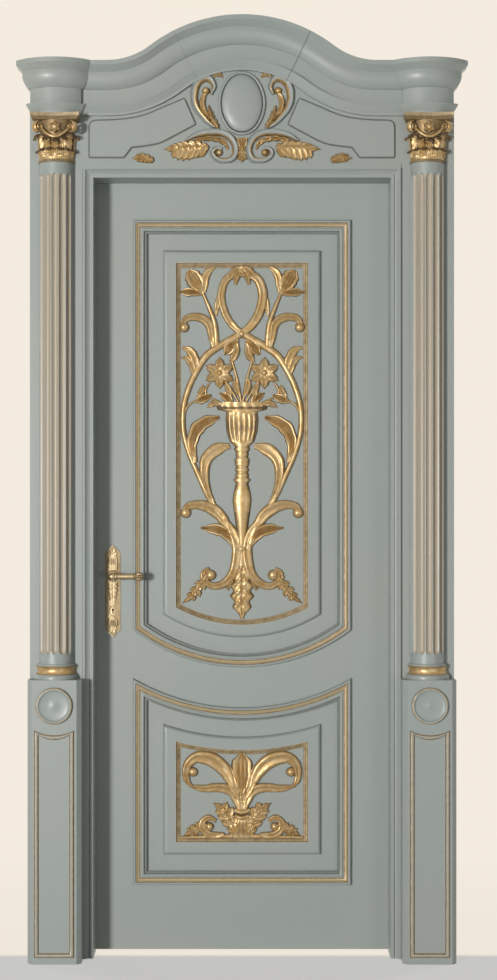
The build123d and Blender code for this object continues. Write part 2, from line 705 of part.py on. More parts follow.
def cornice_wing(joint_gap):
    """Right wing: end of the crown's curve, the hollow flank, a level run and the bowed block."""
    crown_axis = Axis((0, 0, CROWN_CENTRE_Z), (0, 1, 0))
    flank_axis = Axis((ARCH_HALF, 0, FLANK_CENTRE_Z), (0, 1, 0))
    start = degrees(CROWN_JOINT) + degrees(joint_gap / CROWN_R)
    turn = degrees(ARCH_TURN)
    shoulder = revolve(section_at(0, CROWN_TOP_Z).rotate(crown_axis, start), crown_axis, turn - start)
    flank = revolve(section_at(ARCH_HALF, CORNICE_TOP_Z), flank_axis, turn)
    level = extrude(section_at(BLOCK_INNER_X + CORNICE_ROOT, CORNICE_TOP_Z), ARCH_FLAT + CORNICE_ROOT)
    return bowed_block() + [level, flank, shoulder]


def cornice():
    """Crown and wings. The joint on the right stands slightly open."""
    crown_axis = Axis((0, 0, CROWN_CENTRE_Z), (0, 1, 0))
    half = degrees(CROWN_JOINT)
    crown = revolve(section_at(0, CROWN_TOP_Z).rotate(crown_axis, -half), crown_axis, 2 * half)
    write("cornice_crown", crown)
    write("cornice_wing_right", cornice_wing(CROWN_JOINT_GAP))
    write("cornice_wing_left", mirror(cornice_wing(0), about=Plane.YZ))


def shares(place, corners):
    """Where a pixel lies between two corners: middle to right edge, and foot to top."""
    (left, top), (right, foot) = corners
    middle = (left + right) / 2
    return (place[0] - middle) / (right - middle), (foot - place[1]) / (foot - top)


def frieze_point(place):
    """A place on the frieze from its pixel coordinates."""
    across, up = shares(place, FRIEZE_PX)
    return across * BOARD_X, FRIEZE_FOOT_Z + up * (CROWN_UNDER_Z - FRIEZE_FOOT_Z)


def frieze_path(places):
    """Places on the front of the frieze board."""
    return [Vector(x, BOARD_FRONT_Y, z) for x, z in map(frieze_point, places)]


def frieze_board():
    """Board that fills the space between the head casing and the underside of the cornice."""
    under_r = CROWN_R - CORNICE_H
    flank_r = FLANK_R + CORNICE_H
    turn_x = under_r * sin(ARCH_TURN)
    turn_z = CROWN_CENTRE_Z + under_r * cos(ARCH_TURN)
    mid_x = ARCH_HALF - flank_r * sin(ARCH_TURN / 2)
    mid_z = FLANK_CENTRE_Z - flank_r * cos(ARCH_TURN / 2)
    face = outline(
        Polyline((ARCH_HALF, CORNICE_FOOT_Z), (BOARD_X, CORNICE_FOOT_Z), (BOARD_X, FRIEZE_FOOT_Z),
                 (-BOARD_X, FRIEZE_FOOT_Z), (-BOARD_X, CORNICE_FOOT_Z), (-ARCH_HALF, CORNICE_FOOT_Z)),
        ThreePointArc((-ARCH_HALF, CORNICE_FOOT_Z), (-mid_x, mid_z), (-turn_x, turn_z)),
        ThreePointArc((-turn_x, turn_z), (0, CROWN_CENTRE_Z + under_r), (turn_x, turn_z)),
        ThreePointArc((turn_x, turn_z), (mid_x, mid_z), (ARCH_HALF, CORNICE_FOOT_Z)),
    )
    return slab(face, 0, BOARD_T)


def frieze_field():
    """Raised field on the left of the frieze: rounded shoulder, arched top, cut-back foot."""
    shoulder = [frieze_point(place) for place in FIELD_SHOULDER_PX]
    top = [frieze_point(place) for place in FIELD_TOP_PX]
    lower = [frieze_point(place) for place in FIELD_LOWER_PX]
    heel, foot = [frieze_point(place) for place in FIELD_FOOT_PX]
    face = outline(
        Line(foot, shoulder[0]), ThreePointArc(*shoulder), Spline(*top), Line(top[-1], lower[0]),
        Spline(*lower), Line(lower[-1], heel), Line(heel, foot),
    )
    return slab(face, BOARD_FRONT_Y, FRIEZE_FIELD_T)


def oval(margin):
    """The boss's outline widened by a margin: two end arcs and two flatter side arcs that meet smoothly."""
    half_w = BOSS_HALF_W + margin
    half_h = BOSS_HALF_H + margin
    end_r = BOSS_END_R + margin
    rise = half_h - end_r
    side_r = (half_w ** 2 + rise ** 2 - end_r ** 2) / (2 * (half_w - end_r))
    x = end_r * (side_r - half_w) / (side_r - end_r)
    z = rise * side_r / (side_r - end_r)
    return outline(
        ThreePointArc((x, -z), (half_w, 0), (x, z)), ThreePointArc((x, z), (0, half_h), (-x, z)),
        ThreePointArc((-x, z), (-half_w, 0), (-x, -z)), ThreePointArc((-x, -z), (0, -half_h), (x, -z)),
    )


def frieze():
    """Frieze board with its fields, boss and scrollwork."""
    write("frieze_board", frieze_board())
    write("frieze_fields", *both_sides(frieze_field()))
    middle = Pos(0, CROWN_UNDER_Z - BOSS_GAP - BOSS_RING_W - BOSS_HALF_H)
    inner = middle * oval(0)
    write("boss_ring", slab(middle * oval(BOSS_RING_W) - inner, BOARD_FRONT_Y, BOSS_RING_T))
    shoulder = BOSS_DOME_T - BOSS_BEVEL_T
    taper = degrees(atan(BOSS_BEVEL_W / BOSS_BEVEL_T))
    cap = front_plane(BOARD_FRONT_Y - shoulder) * extrude(inner, BOSS_BEVEL_T, taper=taper)
    write("oval_boss", slab(inner, BOARD_FRONT_Y, shoulder) + cap)
    thin = (SCROLL_W / 2, SCROLL_W, SCROLL_W / 2)
    band = (SCROLL_BAND_W, SCROLL_BAND_W, SCROLL_BAND_W / 2)
    carved = [
        ridge(frieze_path(C_SCROLL_PX), VIEWER, thin, SCROLL_T, 0, 8),
        ridge(frieze_path(VOLUTE_BAND_PX), VIEWER, band, SCROLL_T, 0, 16),
    ]
    for leaf in FRIEZE_LEAVES_PX:
        carved.append(ridge(frieze_path(leaf), VIEWER, thin, SCROLL_T, 0, 4))
    left = carved[0] + carved[1:]
    write("frieze_scrollwork", *both_sides(left))


# Leaf

def sag_z(radius, x):
    """Height of the sagging arc of a given radius at x."""
    return SAG_CENTRE_Z - sqrt(radius ** 2 - x ** 2)


def sag_arc(half, radius):
    """The sagging arc from left to right."""
    z = sag_z(radius, half)
    return ThreePointArc((-half, z), (0, SAG_CENTRE_Z - radius), (half, z))


def upper_outline(inset):
    """Outline of the upper panel, moved in from the outer edge of its moulding."""
    half = PANEL_HALF - inset
    top = UPPER_TOP_Z - inset
    z = sag_z(SAG_R - inset, half)
    rest = Polyline((half, z), (half, top), (-half, top), (-half, z))
    return outline(sag_arc(half, SAG_R - inset), rest)


def lower_outline(inset):
    """Outline of the lower panel, moved in from the outer edge of its moulding."""
    half = PANEL_HALF - inset
    foot = BOTTOM_RAIL_SHOW + inset
    z = sag_z(LOWER_SAG_R + inset, half)
    rest = Polyline((half, z), (half, foot), (-half, foot), (-half, z))
    return outline(sag_arc(half, LOWER_SAG_R + inset), rest)


def keyhole(z_clear):
    """A keyhole right through, widened by a clearance."""
    round_part = Pos(LEVER_X, KEY_Z) * Circle(KEYHOLE_R + z_clear)
    slot = Rectangle(KEYHOLE_SLOT_W + 2 * z_clear, KEYHOLE_SLOT_H)
    slot = Pos(LEVER_X, KEY_Z - KEYHOLE_SLOT_H / 2) * slot
    depth = LEAF_T + 2 * (PLATE_T + CUT_OVERRUN)
    return slab(round_part + slot, LEAF_MID_Y + depth / 2, depth)


def lock_room(gap):
    """Room in the lock stile for the case and its forend."""
    edge = -LEAF_HALF_W
    half = LOCK_CASE_T / 2 + gap
    tall = LOCK_CASE_H / 2 + gap
    room = block(edge, edge + FOREND_T + LOCK_CASE_D + gap, LEAF_MID_Y - half, LEAF_MID_Y + half,
                 LOCK_Z - tall, LOCK_Z + tall)
    half = FOREND_W / 2 + gap
    tall = FOREND_H / 2 + gap
    y0, y1 = LEAF_MID_Y - half, LEAF_MID_Y + half
    return room + block(edge, edge + FOREND_T, y0, y1, LOCK_Z - tall, LOCK_Z + tall)


def tenon(z0, z1, gap):
    """The tenon of a rail, with its cheeks, in the right stile."""
    half = TENON_T / 2
    return block(STILE_INNER_X, STILE_INNER_X + TENON_L + gap, LEAF_MID_Y - half, LEAF_MID_Y + half,
                 z0 + TENON_SHOULDER, z1 - TENON_SHOULDER)


def leaf_frame():
    """Stiles and rails, joined with tenons."""
    back = JAMB_DEPTH
    lap = MOULDING_LAP
    lock_top = sag_z(SAG_R - lap, STILE_INNER_X)
    lock_foot = sag_z(LOWER_SAG_R + lap, STILE_INNER_X)
    levels = (
        (FLOOR_GAP, BOTTOM_RAIL_SHOW + lap),
        (lock_foot, lock_top),
        (UPPER_TOP_Z - lap, LEAF_TOP_Z),
    )
    stile = block(STILE_INNER_X, LEAF_HALF_W, LEAF_FRONT_Y, back, FLOOR_GAP, LEAF_TOP_Z)
    stile -= [tenon(z0, z1, FIT_GAP) for z0, z1 in levels]
    write("hinge_stile", stile - hinge_recess(LEAF_HALF_W, -1))
    hole_start = (LEVER_X, LEAF_FRONT_Y - CUT_OVERRUN, LEVER_Z)
    spindle_hole = rod(HUB_R, hole_start, (0, 1, 0), LEAF_T + 2 * CUT_OVERRUN)
    lock_stile = mirror(stile, about=Plane.YZ)
    write("lock_stile", lock_stile - [lock_room(FIT_GAP), spindle_hole, keyhole(KEYHOLE_R)])
    tenons = [both_sides(tenon(z0, z1, 0)) for z0, z1 in levels]
    z0, z1 = levels[0]
    bottom = block(-STILE_INNER_X, STILE_INNER_X, LEAF_FRONT_Y, back, z0, z1)
    write("bottom_rail", bottom + tenons[0])
    z0, z1 = levels[2]
    top = block(-STILE_INNER_X, STILE_INNER_X, LEAF_FRONT_Y, back, z0, z1)
    write("top_rail", top + tenons[2])
    half = STILE_INNER_X
    face = outline(
        sag_arc(half, SAG_R - lap), Line((half, lock_top), (half, lock_foot)),
        sag_arc(half, LOWER_SAG_R + lap), Line((-half, lock_foot), (-half, lock_top)),
    )
    write("lock_rail", slab(face, back, LEAF_T) + tenons[1])


def panel(shape):
    """Panel with a raised, bevelled field in front and behind and a recess for the carving."""
    plate = slab(shape(MOULDING_LAP), PANEL_FRONT_Y + PANEL_T, PANEL_T)
    for face_y, direction in ((PANEL_FRONT_Y, VIEWER), (PANEL_FRONT_Y + PANEL_T, -VIEWER)):
        root = front_plane(face_y) * shape(FIELD_INSET)
        crest = front_plane(face_y + direction.Y * FIELD_T) * shape(FIELD_INSET + FIELD_BEVEL)
        plate += loft([root, crest], ruled=True)
    recess = slab(shape(GROUND_INSET), PANEL_FRONT_Y - FIELD_T + RECESS_D, RECESS_D)
    return plate - recess


def moulding_face():
    """Bolection section: x runs in from the outer edge, y stands up from the leaf's face."""
    crest_x = MOULDING_W - MOULDING_BEAD_W - MOULDING_CREST_W
    bead_x = MOULDING_W - MOULDING_BEAD_W
    hollow = (crest_x + (bead_x - crest_x) / 3, MOULDING_BEAD_T + (MOULDING_CREST_T - MOULDING_BEAD_T) / 3)
    seat = -PANEL_SETBACK
    return outline(
        Polyline((bead_x, MOULDING_BEAD_T), (MOULDING_W, MOULDING_BEAD_T), (MOULDING_W, seat),
                 (MOULDING_LAP, seat), (MOULDING_LAP, 0), (0, 0), (0, MOULDING_EDGE_T),
                 (crest_x / 2, MOULDING_CREST_T), (crest_x, MOULDING_CREST_T)),
        ThreePointArc((crest_x, MOULDING_CREST_T), hollow, (bead_x, MOULDING_BEAD_T)),
    )


def panel_moulding(end_z, arc_r, inward):
    """Four mitred lengths round a panel: two sides, a level one at end_z, and one on the sagging arc.

    inward is the direction from the sagging edge into the panel: 1 up, -1 down.
    """
    face = moulding_face()
    half = PANEL_HALF
    inner_half = half - MOULDING_W
    corner_z = sag_z(arc_r, half)
    inner_z = sag_z(arc_r - inward * MOULDING_W, inner_half)
    flat = Vector(half, LEAF_FRONT_Y, end_z)
    sag = Vector(half, LEAF_FRONT_Y, corner_z)
    sag_cut = Vector(inner_z - corner_z, 0, half - inner_half)
    level_cut = Vector(1, 0, inward)
    tall = abs(end_z - corner_z) + 2 * MOULDING_W
    low = min(end_z, corner_z) - MOULDING_W
    side = Plane(origin=(half, LEAF_FRONT_Y, low), x_dir=(-1, 0, 0), z_dir=UP) * extrude(face, tall)
    side = keep_side(side, flat, Vector(1, 0, -inward))
    side = keep_side(side, sag, sag_cut * inward)
    level = Plane(origin=(half, LEAF_FRONT_Y, end_z), x_dir=(0, 0, -inward), z_dir=(-inward, 0, 0))
    level = level * extrude(face, 2 * half * inward)
    level = keep_side(level, flat, Vector(-1, 0, inward))
    level = keep_side(level, (-half, LEAF_FRONT_Y, end_z), Vector(1, 0, inward))
    axis = Axis((0, 0, SAG_CENTRE_Z), (0, 1, 0))
    reach = degrees(asin(half / arc_r))
    lowest = (0, LEAF_FRONT_Y, SAG_CENTRE_Z - arc_r)
    bottom = Plane(origin=lowest, x_dir=(0, 0, inward), z_dir=(inward, 0, 0)) * face
    curved = revolve(bottom.rotate(axis, -reach), axis, 2 * reach)
    curved = keep_side(curved, sag, sag_cut * -inward)
    curved = keep_side(curved, (-half, LEAF_FRONT_Y, corner_z), Vector(sag_cut.X, 0, -sag_cut.Z) * inward)
    return [side, mirror(side, about=Plane.YZ), level, curved]


def behind(shape):
    """The same piece on the back of the leaf."""
    return mirror(shape, about=Plane.XZ.offset(-LEAF_MID_Y))


def ground_path(places, mapper):
    """Places on the ground of a carving."""
    y = PANEL_FRONT_Y - FIELD_T + RECESS_D - CARVING_GROUND_T
    return [Vector(x, y, z) for x, z in map(mapper, places)]


def upper_point(place):
    """A place on the upper carving from its pixel coordinates."""
    across, up = shares(place, UPPER_GROUND_PX)
    foot = SAG_CENTRE_Z - SAG_R + GROUND_INSET
    return across * GROUND_HALF, foot + up * (UPPER_TOP_Z - GROUND_INSET - foot)


def lower_point(place):
    """A place on the lower carving from its pixel coordinates."""
    across, up = shares(place, LOWER_GROUND_PX)
    foot = BOTTOM_RAIL_SHOW + GROUND_INSET
    return across * GROUND_HALF, foot + up * (SAG_CENTRE_Z - LOWER_SAG_R - GROUND_INSET - foot)


def relief(places, widths, mapper, stations):
    """One carved stem or leaf on a ground."""
    return ridge(ground_path(places, mapper), VIEWER, widths, RELIEF_T, RELIEF_SINK, stations)


def on_axis(places):
    """Places on the middle line of a carving, from offsets to the right of it."""
    (left, _), (right, _) = UPPER_GROUND_PX
    return [((left + right) / 2 + across, down) for across, down in places]


def urn():
    """Vase on the middle line: flat-fronted sections at each level, lofted straight."""
    sections = []
    for half, y, z in map(tuple, ground_path(on_axis(URN_PX), upper_point)):
        back, front = y + RELIEF_SINK, y - URN_T
        corners = ((-half, back), (-half / 2, front), (half / 2, front), (half, back))
        sections.append(Pos(0, 0, z) * make_face(Polyline(*corners, close=True)))
    return loft(sections, ruled=True)


def petal(centre, angle, start, end):
    """A pointed petal that runs outward from a centre, between two distances."""
    outward = Vector(cos(angle), 0, sin(angle))
    widths = (LEAFLET_W / 3, LEAFLET_W * 2 / 3, LEAFLET_W / 6)
    path = (centre + outward * start, centre + outward * end)
    return ridge(path, VIEWER, widths, RELIEF_T, RELIEF_SINK, 2)


def flower(centre):
    """Pointed petals round a centre."""
    return [petal(centre, pi * (index + 1 / 2) / 3, FLOWER_R / 4, FLOWER_R) for index in range(6)]


def carved_board(shape, left, middle):
    """A carved board: its ground with the relief of both halves."""
    ground = slab(shape(GROUND_INSET), PANEL_FRONT_Y - FIELD_T + RECESS_D, CARVING_GROUND_T)
    right = [mirror(piece, about=Plane.YZ) for piece in left]
    return ground + [*left, *right, *middle]


def upper_carving():
    """Urn with flowers, a crossed loop and long scrolling stems with leaves."""
    stem = (STEM_W, STEM_W, STEM_W)
    taper = (STEM_W, STEM_W, STEM_W / 3)
    leaflet = (LEAFLET_W / 2, LEAFLET_W, LEAFLET_W / 4)
    left = [
        relief(LOOP_PX, stem, upper_point, 6),
        relief(MAIN_STEM_PX, stem, upper_point, 12),
        relief(FOOT_SCROLL_PX, taper, upper_point, 10),
        relief(TULIP_STEM_PX, taper, upper_point, 3),
        relief(SIDE_SCROLL_PX, taper, upper_point, 6),
        relief(LOWER_LOOP_PX, taper, upper_point, 4),
    ]
    left += [relief(places, leaflet, upper_point, 4) for places in (*TULIP_PX, *LEAFLETS_PX)]
    for centre in ground_path(FLOWERS_PX, upper_point):
        left += flower(centre)
    left += [petal(centre, pi / 2, -BUD_R, BUD_R) for centre in ground_path(BUDS_PX, upper_point)]
    middle = [urn(), relief(on_axis(DROP_PX), (DROP_W / 2, DROP_W, DROP_W / 5), upper_point, 4)]
    return carved_board(upper_outline, left, middle)


def lower_carving():
    """Upright leaf between scrolls, with a spreading foot."""
    fat = (STEM_W, LEAFLET_W, STEM_W / 3)
    left = [relief(places, fat, lower_point, 2 * len(places) - 2) for places in LOWER_SCROLLS_PX]
    middle = [
        relief(on_axis(LOWER_LEAF_PX), (DROP_W / 3, DROP_W, DROP_W / 5), lower_point, 4),
        relief(on_axis(LOWER_SKIRT_PX), (DROP_W / 3, DROP_W / 2, DROP_W), lower_point, 2),
    ]
    return carved_board(lower_outline, left, middle)


def leaf_panels():
    """Panels, mouldings on both faces and carved boards."""
    write("upper_panel", panel(upper_outline))
    write("lower_panel", panel(lower_outline))
    for name, lengths in (
        ("upper_moulding", panel_moulding(UPPER_TOP_Z, SAG_R, 1)),
        ("lower_moulding", panel_moulding(BOTTOM_RAIL_SHOW, LOWER_SAG_R, -1)),
    ):
        write(name, *lengths)
        write(f"{name}_rear", *[behind(length) for length in lengths])
    write("upper_carving", upper_carving())
    write("lower_carving", lower_carving())


# Lock work

def backplate():
    """Long plate with a domed face, pointed ends, a collar for the lever and a keyhole."""
    half = PLATE_W / 2
    tall = PLATE_H / 2
    tip = tall + FINIAL_H
    face = outline(
        Line((-half, -tall), (-half, tall)),
        ThreePointArc((-half, tall), (-FINIAL_W / 2, tall + FINIAL_H / 2), (0, tip)),
        ThreePointArc((0, tip), (FINIAL_W / 2, tall + FINIAL_H / 2), (half, tall)),
        Line((half, tall), (half, -tall)),
        ThreePointArc((half, -tall), (FINIAL_W / 2, -tall - FINIAL_H / 2), (0, -tip)),
        ThreePointArc((0, -tip), (-FINIAL_W / 2, -tall - FINIAL_H / 2), (-half, -tall)),
    )
    plate = slab(Pos(LEVER_X, PLATE_Z) * face, LEAF_FRONT_Y, PLATE_T)
    rise = PLATE_T - PLATE_EDGE_T
    dome_r = (half ** 2 + rise ** 2) / (2 * rise)
    dome_start = (LEVER_X, LEAF_FRONT_Y - PLATE_T + dome_r, PLATE_Z - tip - CUT_OVERRUN)
    plate &= rod(dome_r, dome_start, UP, 2 * (tip + CUT_OVERRUN))
    plate += rod(COLLAR_R, (LEVER_X, LEAF_FRONT_Y, LEVER_Z), VIEWER, COLLAR_T)
    bore_r = NECK_R + NECK_CLEARANCE
    plate -= rod(bore_r, (LEVER_X, LEAF_FRONT_Y + CUT_OVERRUN, LEVER_Z), VIEWER, COLLAR_T + 2 * CUT_OVERRUN)
    return plate - keyhole(0)


def spindle_square(length):
    """The square of the spindle, centred in the leaf."""
    return Pos(LEVER_X, LEAF_MID_Y, LEVER_Z) * Box(SPINDLE_W, length, SPINDLE_W)


def lever():
    """Lever: round neck and a turned grip that ends in a ringed knob."""
    reach_y = LEAF_FRONT_Y - LEVER_REACH
    neck = rod(NECK_R, (LEVER_X, LEAF_FRONT_Y, LEVER_Z), VIEWER, LEVER_REACH)
    knob_x = LEVER_L - LEVER_KNOB_L
    ring = LEVER_KNOB_L / 5
    section = Polyline(
        (-LEVER_KNOB_R, 0), (-LEVER_KNOB_R, LEVER_KNOB_R), (NECK_R, LEVER_KNOB_R), (2 * NECK_R, LEVER_R),
        (knob_x, LEVER_R), (knob_x, LEVER_KNOB_R), (knob_x + ring, LEVER_KNOB_R), (knob_x + ring, LEVER_R),
        (knob_x + 2 * ring, LEVER_R), (knob_x + 2 * ring, LEVER_KNOB_R), (LEVER_L - ring, LEVER_KNOB_R),
        (LEVER_L, LEVER_R / 2), (LEVER_L, 0), close=True,
    )
    grip = revolve(make_face(section), Axis.X)
    solid = neck + Pos(LEVER_X, reach_y, LEVER_Z) * grip
    return solid - spindle_square(LEAF_T + 2 * SPINDLE_GRIP)


def lock_case():
    """Hollow lock case with its forend, openings for the bolts, follower and key."""
    edge = -LEAF_HALF_W
    solid = lock_room(0)
    x0 = edge + FOREND_T
    half = LOCK_CASE_T / 2 - LOCK_WALL
    tall = LOCK_CASE_H / 2 - LOCK_WALL
    y0, y1 = LEAF_MID_Y - half, LEAF_MID_Y + half
    solid -= block(x0, x0 + LOCK_CASE_D - LOCK_WALL, y0, y1, LOCK_Z - tall, LOCK_Z + tall)
    for height, z in ((LATCH_H, LATCH_Z), (DEADBOLT_H, KEY_Z)):
        half_t = BOLT_T / 2 + FIT_GAP
        half_h = height / 2 + FIT_GAP
        solid -= block(edge, x0, LEAF_MID_Y - half_t, LEAF_MID_Y + half_t, z - half_h, z + half_h)
    bore_r = NECK_R + NECK_CLEARANCE
    solid -= rod(bore_r, (LEVER_X, LEAF_FRONT_Y, LEVER_Z), (0, 1, 0), LEAF_T)
    return solid - keyhole(0)


def follower():
    """Follower that the spindle turns: a disc between the walls of the case."""
    half = LOCK_CASE_T / 2 - LOCK_WALL - FIT_GAP
    return rod(HUB_R, (LEVER_X, LEAF_MID_Y + half, LEVER_Z), VIEWER, 2 * half) - spindle_square(LEAF_T)


def latch_bolt():
    """Spring latch with a bevelled nose, sitting out of the forend at rest."""
    nose = -LEAF_HALF_W - LATCH_OUT
    half = BOLT_T / 2
    plan = Polyline(
        (nose, LEAF_MID_Y - half), (nose + LATCH_L, LEAF_MID_Y - half), (nose + LATCH_L, LEAF_MID_Y + half),
        (nose + LATCH_OUT - LEAF_GAP / 2, LEAF_MID_Y + half), (nose, LEAF_MID_Y - half / 2), close=True,
    )
    return Pos(0, 0, LATCH_Z - LATCH_H / 2) * extrude(make_face(plan), LATCH_H)


def deadbolt():
    """Deadbolt, drawn back flush with the forend at rest."""
    half = BOLT_T / 2
    edge = -LEAF_HALF_W
    return block(edge, edge + DEADBOLT_L - DEADBOLT_TRAVEL, LEAF_MID_Y - half, LEAF_MID_Y + half,
                 KEY_Z - DEADBOLT_H / 2, KEY_Z + DEADBOLT_H / 2)


def lock_work():
    """Backplates, levers, lock and bolts."""
    plate = backplate()
    write("front_backplate", plate)
    write("rear_backplate", behind(plate))
    front = lever()
    write("front_lever", front)
    write("rear_lever", behind(front))
    write("spindle", spindle_square(LEAF_T + 2 * SPINDLE_GRIP))
    write("lock_case", lock_case())
    write("lock_follower", follower())
    write("latch_bolt", latch_bolt())
    write("deadbolt", deadbolt())


# Hinges

def hinge_half(z, side, indices):
    """One half of a butt hinge: let-in plate and its own knuckles."""
    plate_x = HINGE_X + side * LEAF_GAP / 2
    pitch = HINGE_H / KNUCKLE_COUNT
    foot = z - HINGE_H / 2
    inner_x = plate_x + side * HINGE_PLATE_T
    solid = block(plate_x, inner_x, JAMB_DEPTH - HINGE_PLATE_W, JAMB_DEPTH, foot, foot + HINGE_H)
    for index in indices:
        z0 = foot + pitch * index + KNUCKLE_GAP / 2
        z1 = foot + pitch * (index + 1) - KNUCKLE_GAP / 2
        solid += block(plate_x, inner_x, JAMB_DEPTH, HINGE_Y, z0, z1)
        solid += rod(KNUCKLE_R, (HINGE_X, HINGE_Y, z0), UP, z1 - z0)
    bore_r = HINGE_PIN_R + HINGE_PIN_CLEARANCE
    return solid - rod(bore_r, (HINGE_X, HINGE_Y, foot - CUT_OVERRUN), UP, HINGE_H + 2 * CUT_OVERRUN)


def hinge_pin(z):
    """Pin with a cap at each end."""
    half = HINGE_H / 2
    pin = rod(HINGE_PIN_R, (HINGE_X, HINGE_Y, z - half), UP, HINGE_H)
    pin += rod(HINGE_CAP_R, (HINGE_X, HINGE_Y, z + half), UP, HINGE_CAP_H)
    return pin + rod(HINGE_CAP_R, (HINGE_X, HINGE_Y, z - half), -UP, HINGE_CAP_H)


def hinges():
    """Three butt hinges on the right, behind the leaf."""
    own = range(0, KNUCKLE_COUNT, 2)
    other = range(1, KNUCKLE_COUNT, 2)
    write("hinge_frame_halves", *[hinge_half(z, 1, own) for z in HINGE_HEIGHTS])
    write("hinge_leaf_halves", *[hinge_half(z, -1, other) for z in HINGE_HEIGHTS])
    write("hinge_pins", *[hinge_pin(z) for z in HINGE_HEIGHTS])


os.makedirs("parts", exist_ok=True)
frame_lining()
casings()
pilasters()
cornice()
frieze()
leaf_frame()
leaf_panels()
lock_work()
hinges()
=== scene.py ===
# %% [markdown]
# # A lacquered and gilded door set
# The real object is an interior door in a classical surround: a framed leaf with two carved panels,
# half-columns on pedestals, gilded capitals and an arched cornice. The CAD model gives every size. This
# lesson dresses it: soft mouldings, real carving, lacquer with gold leaf, brass and steel.

# %% Load the packed model
import math

import bpy
import numpy as np
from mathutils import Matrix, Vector


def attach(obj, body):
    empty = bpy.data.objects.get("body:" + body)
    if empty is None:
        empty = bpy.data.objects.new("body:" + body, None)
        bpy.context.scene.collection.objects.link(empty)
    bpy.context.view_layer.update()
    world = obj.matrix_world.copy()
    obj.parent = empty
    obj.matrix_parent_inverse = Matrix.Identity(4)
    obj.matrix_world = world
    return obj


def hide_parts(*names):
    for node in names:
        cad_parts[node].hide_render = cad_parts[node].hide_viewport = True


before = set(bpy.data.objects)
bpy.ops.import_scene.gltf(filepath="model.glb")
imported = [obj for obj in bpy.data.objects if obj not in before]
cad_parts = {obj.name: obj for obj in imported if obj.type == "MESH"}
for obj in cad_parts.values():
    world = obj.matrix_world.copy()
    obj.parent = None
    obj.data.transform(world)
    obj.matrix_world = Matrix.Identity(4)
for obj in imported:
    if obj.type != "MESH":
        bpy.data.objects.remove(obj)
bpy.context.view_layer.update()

# %% [markdown]
# ## Camera
# The photograph was taken squarely from the front at chest height, so the camera is level and looks along
# +Y. Tilting it down would make the uprights lean together; a small lens shift keeps them parallel.

# %% Camera
IMAGE_W, IMAGE_H = 497, 980
VANISH_X, VANISH_Y = 242.0, 522.0
FOCAL_PX = 1862.0
EYE = (0.0, -5.022, 1.174)

lens = bpy.data.cameras.new("photo_camera")
lens.sensor_fit = "VERTICAL"
lens.sensor_height = 24.0
lens.lens = FOCAL_PX / IMAGE_H * lens.sensor_height
lens.shift_x = (IMAGE_W / 2 - VANISH_X) / IMAGE_H
lens.shift_y = (VANISH_Y - IMAGE_H / 2) / IMAGE_H
camera = bpy.data.objects.new("photo_camera", lens)
camera.location = EYE
camera.rotation_euler = (math.pi / 2, 0, 0)
bpy.context.scene.collection.objects.link(camera)
bpy.context.scene.camera = camera
bpy.context.scene.view_settings.view_transform = "Standard"
print("lens", round(lens.lens, 2), "shift", round(lens.shift_x, 4), round(lens.shift_y, 4))

# %% [markdown]
# ## Node maths
# A material is a small graph. Drawing every Math node by hand hides the idea, so one class wraps a socket
# and lets Python's own operators add the nodes. A second class owns one graph and makes every other node.

# %% Flow and Graph
class Flow:
    """One value on its way through a graph. Arithmetic on it adds Math nodes."""

    def __init__(self, graph, socket):
        self.graph = graph
        self.socket = socket

    def math(self, operation, other=0.0, swapped=False):
        """One Math node on this value and another; swapped puts the other first."""
        first, second = (other, self) if swapped else (self, other)
        return self.graph.node("ShaderNodeMath", {"operation": operation}, {0: first, 1: second})

    def __add__(self, other):
        return self.math("ADD", other)

    def __sub__(self, other):
        return self.math("SUBTRACT", other)

    def __rsub__(self, other):
        return self.math("SUBTRACT", other, True)

    def __mul__(self, other):
        return self.math("MULTIPLY", other)

    __radd__ = __add__
    __rmul__ = __mul__

    def step(self, low, high):
        """0 below low, 1 above high, a smooth ramp between."""
        ends = {"From Min": low, "From Max": high, "Value": self}
        return self.graph.node("ShaderNodeMapRange", {"interpolation_type": "SMOOTHSTEP"}, ends)


class Graph:
    """The nodes of one material or world."""

    def __init__(self, owner):
        owner.use_nodes = True
        self.tree = owner.node_tree
        self.tree.nodes.clear()

    def node(self, kind, settings, sockets, give=0):
        """Any node: its settings are set first, then its sockets get values or links."""
        made = self.tree.nodes.new(kind)
        for key, value in settings.items():
            setattr(made, key, value)
        for key, value in sockets.items():
            if isinstance(value, Flow):
                self.tree.links.new(value.socket, made.inputs[key])
            else:
                made.inputs[key].default_value = value
        return Flow(self, made.outputs[give]) if made.outputs else None


flow_words = [name for name in vars(Flow) if not name.startswith("_")]
print("a flow knows", flow_words, "beside its operators")

# %% [markdown]
# A finish is a graph that ends in one Principled shader. It reads Object coordinates, which stay with the
# piece when the door opens, and the values that were painted on the piece's own mesh.

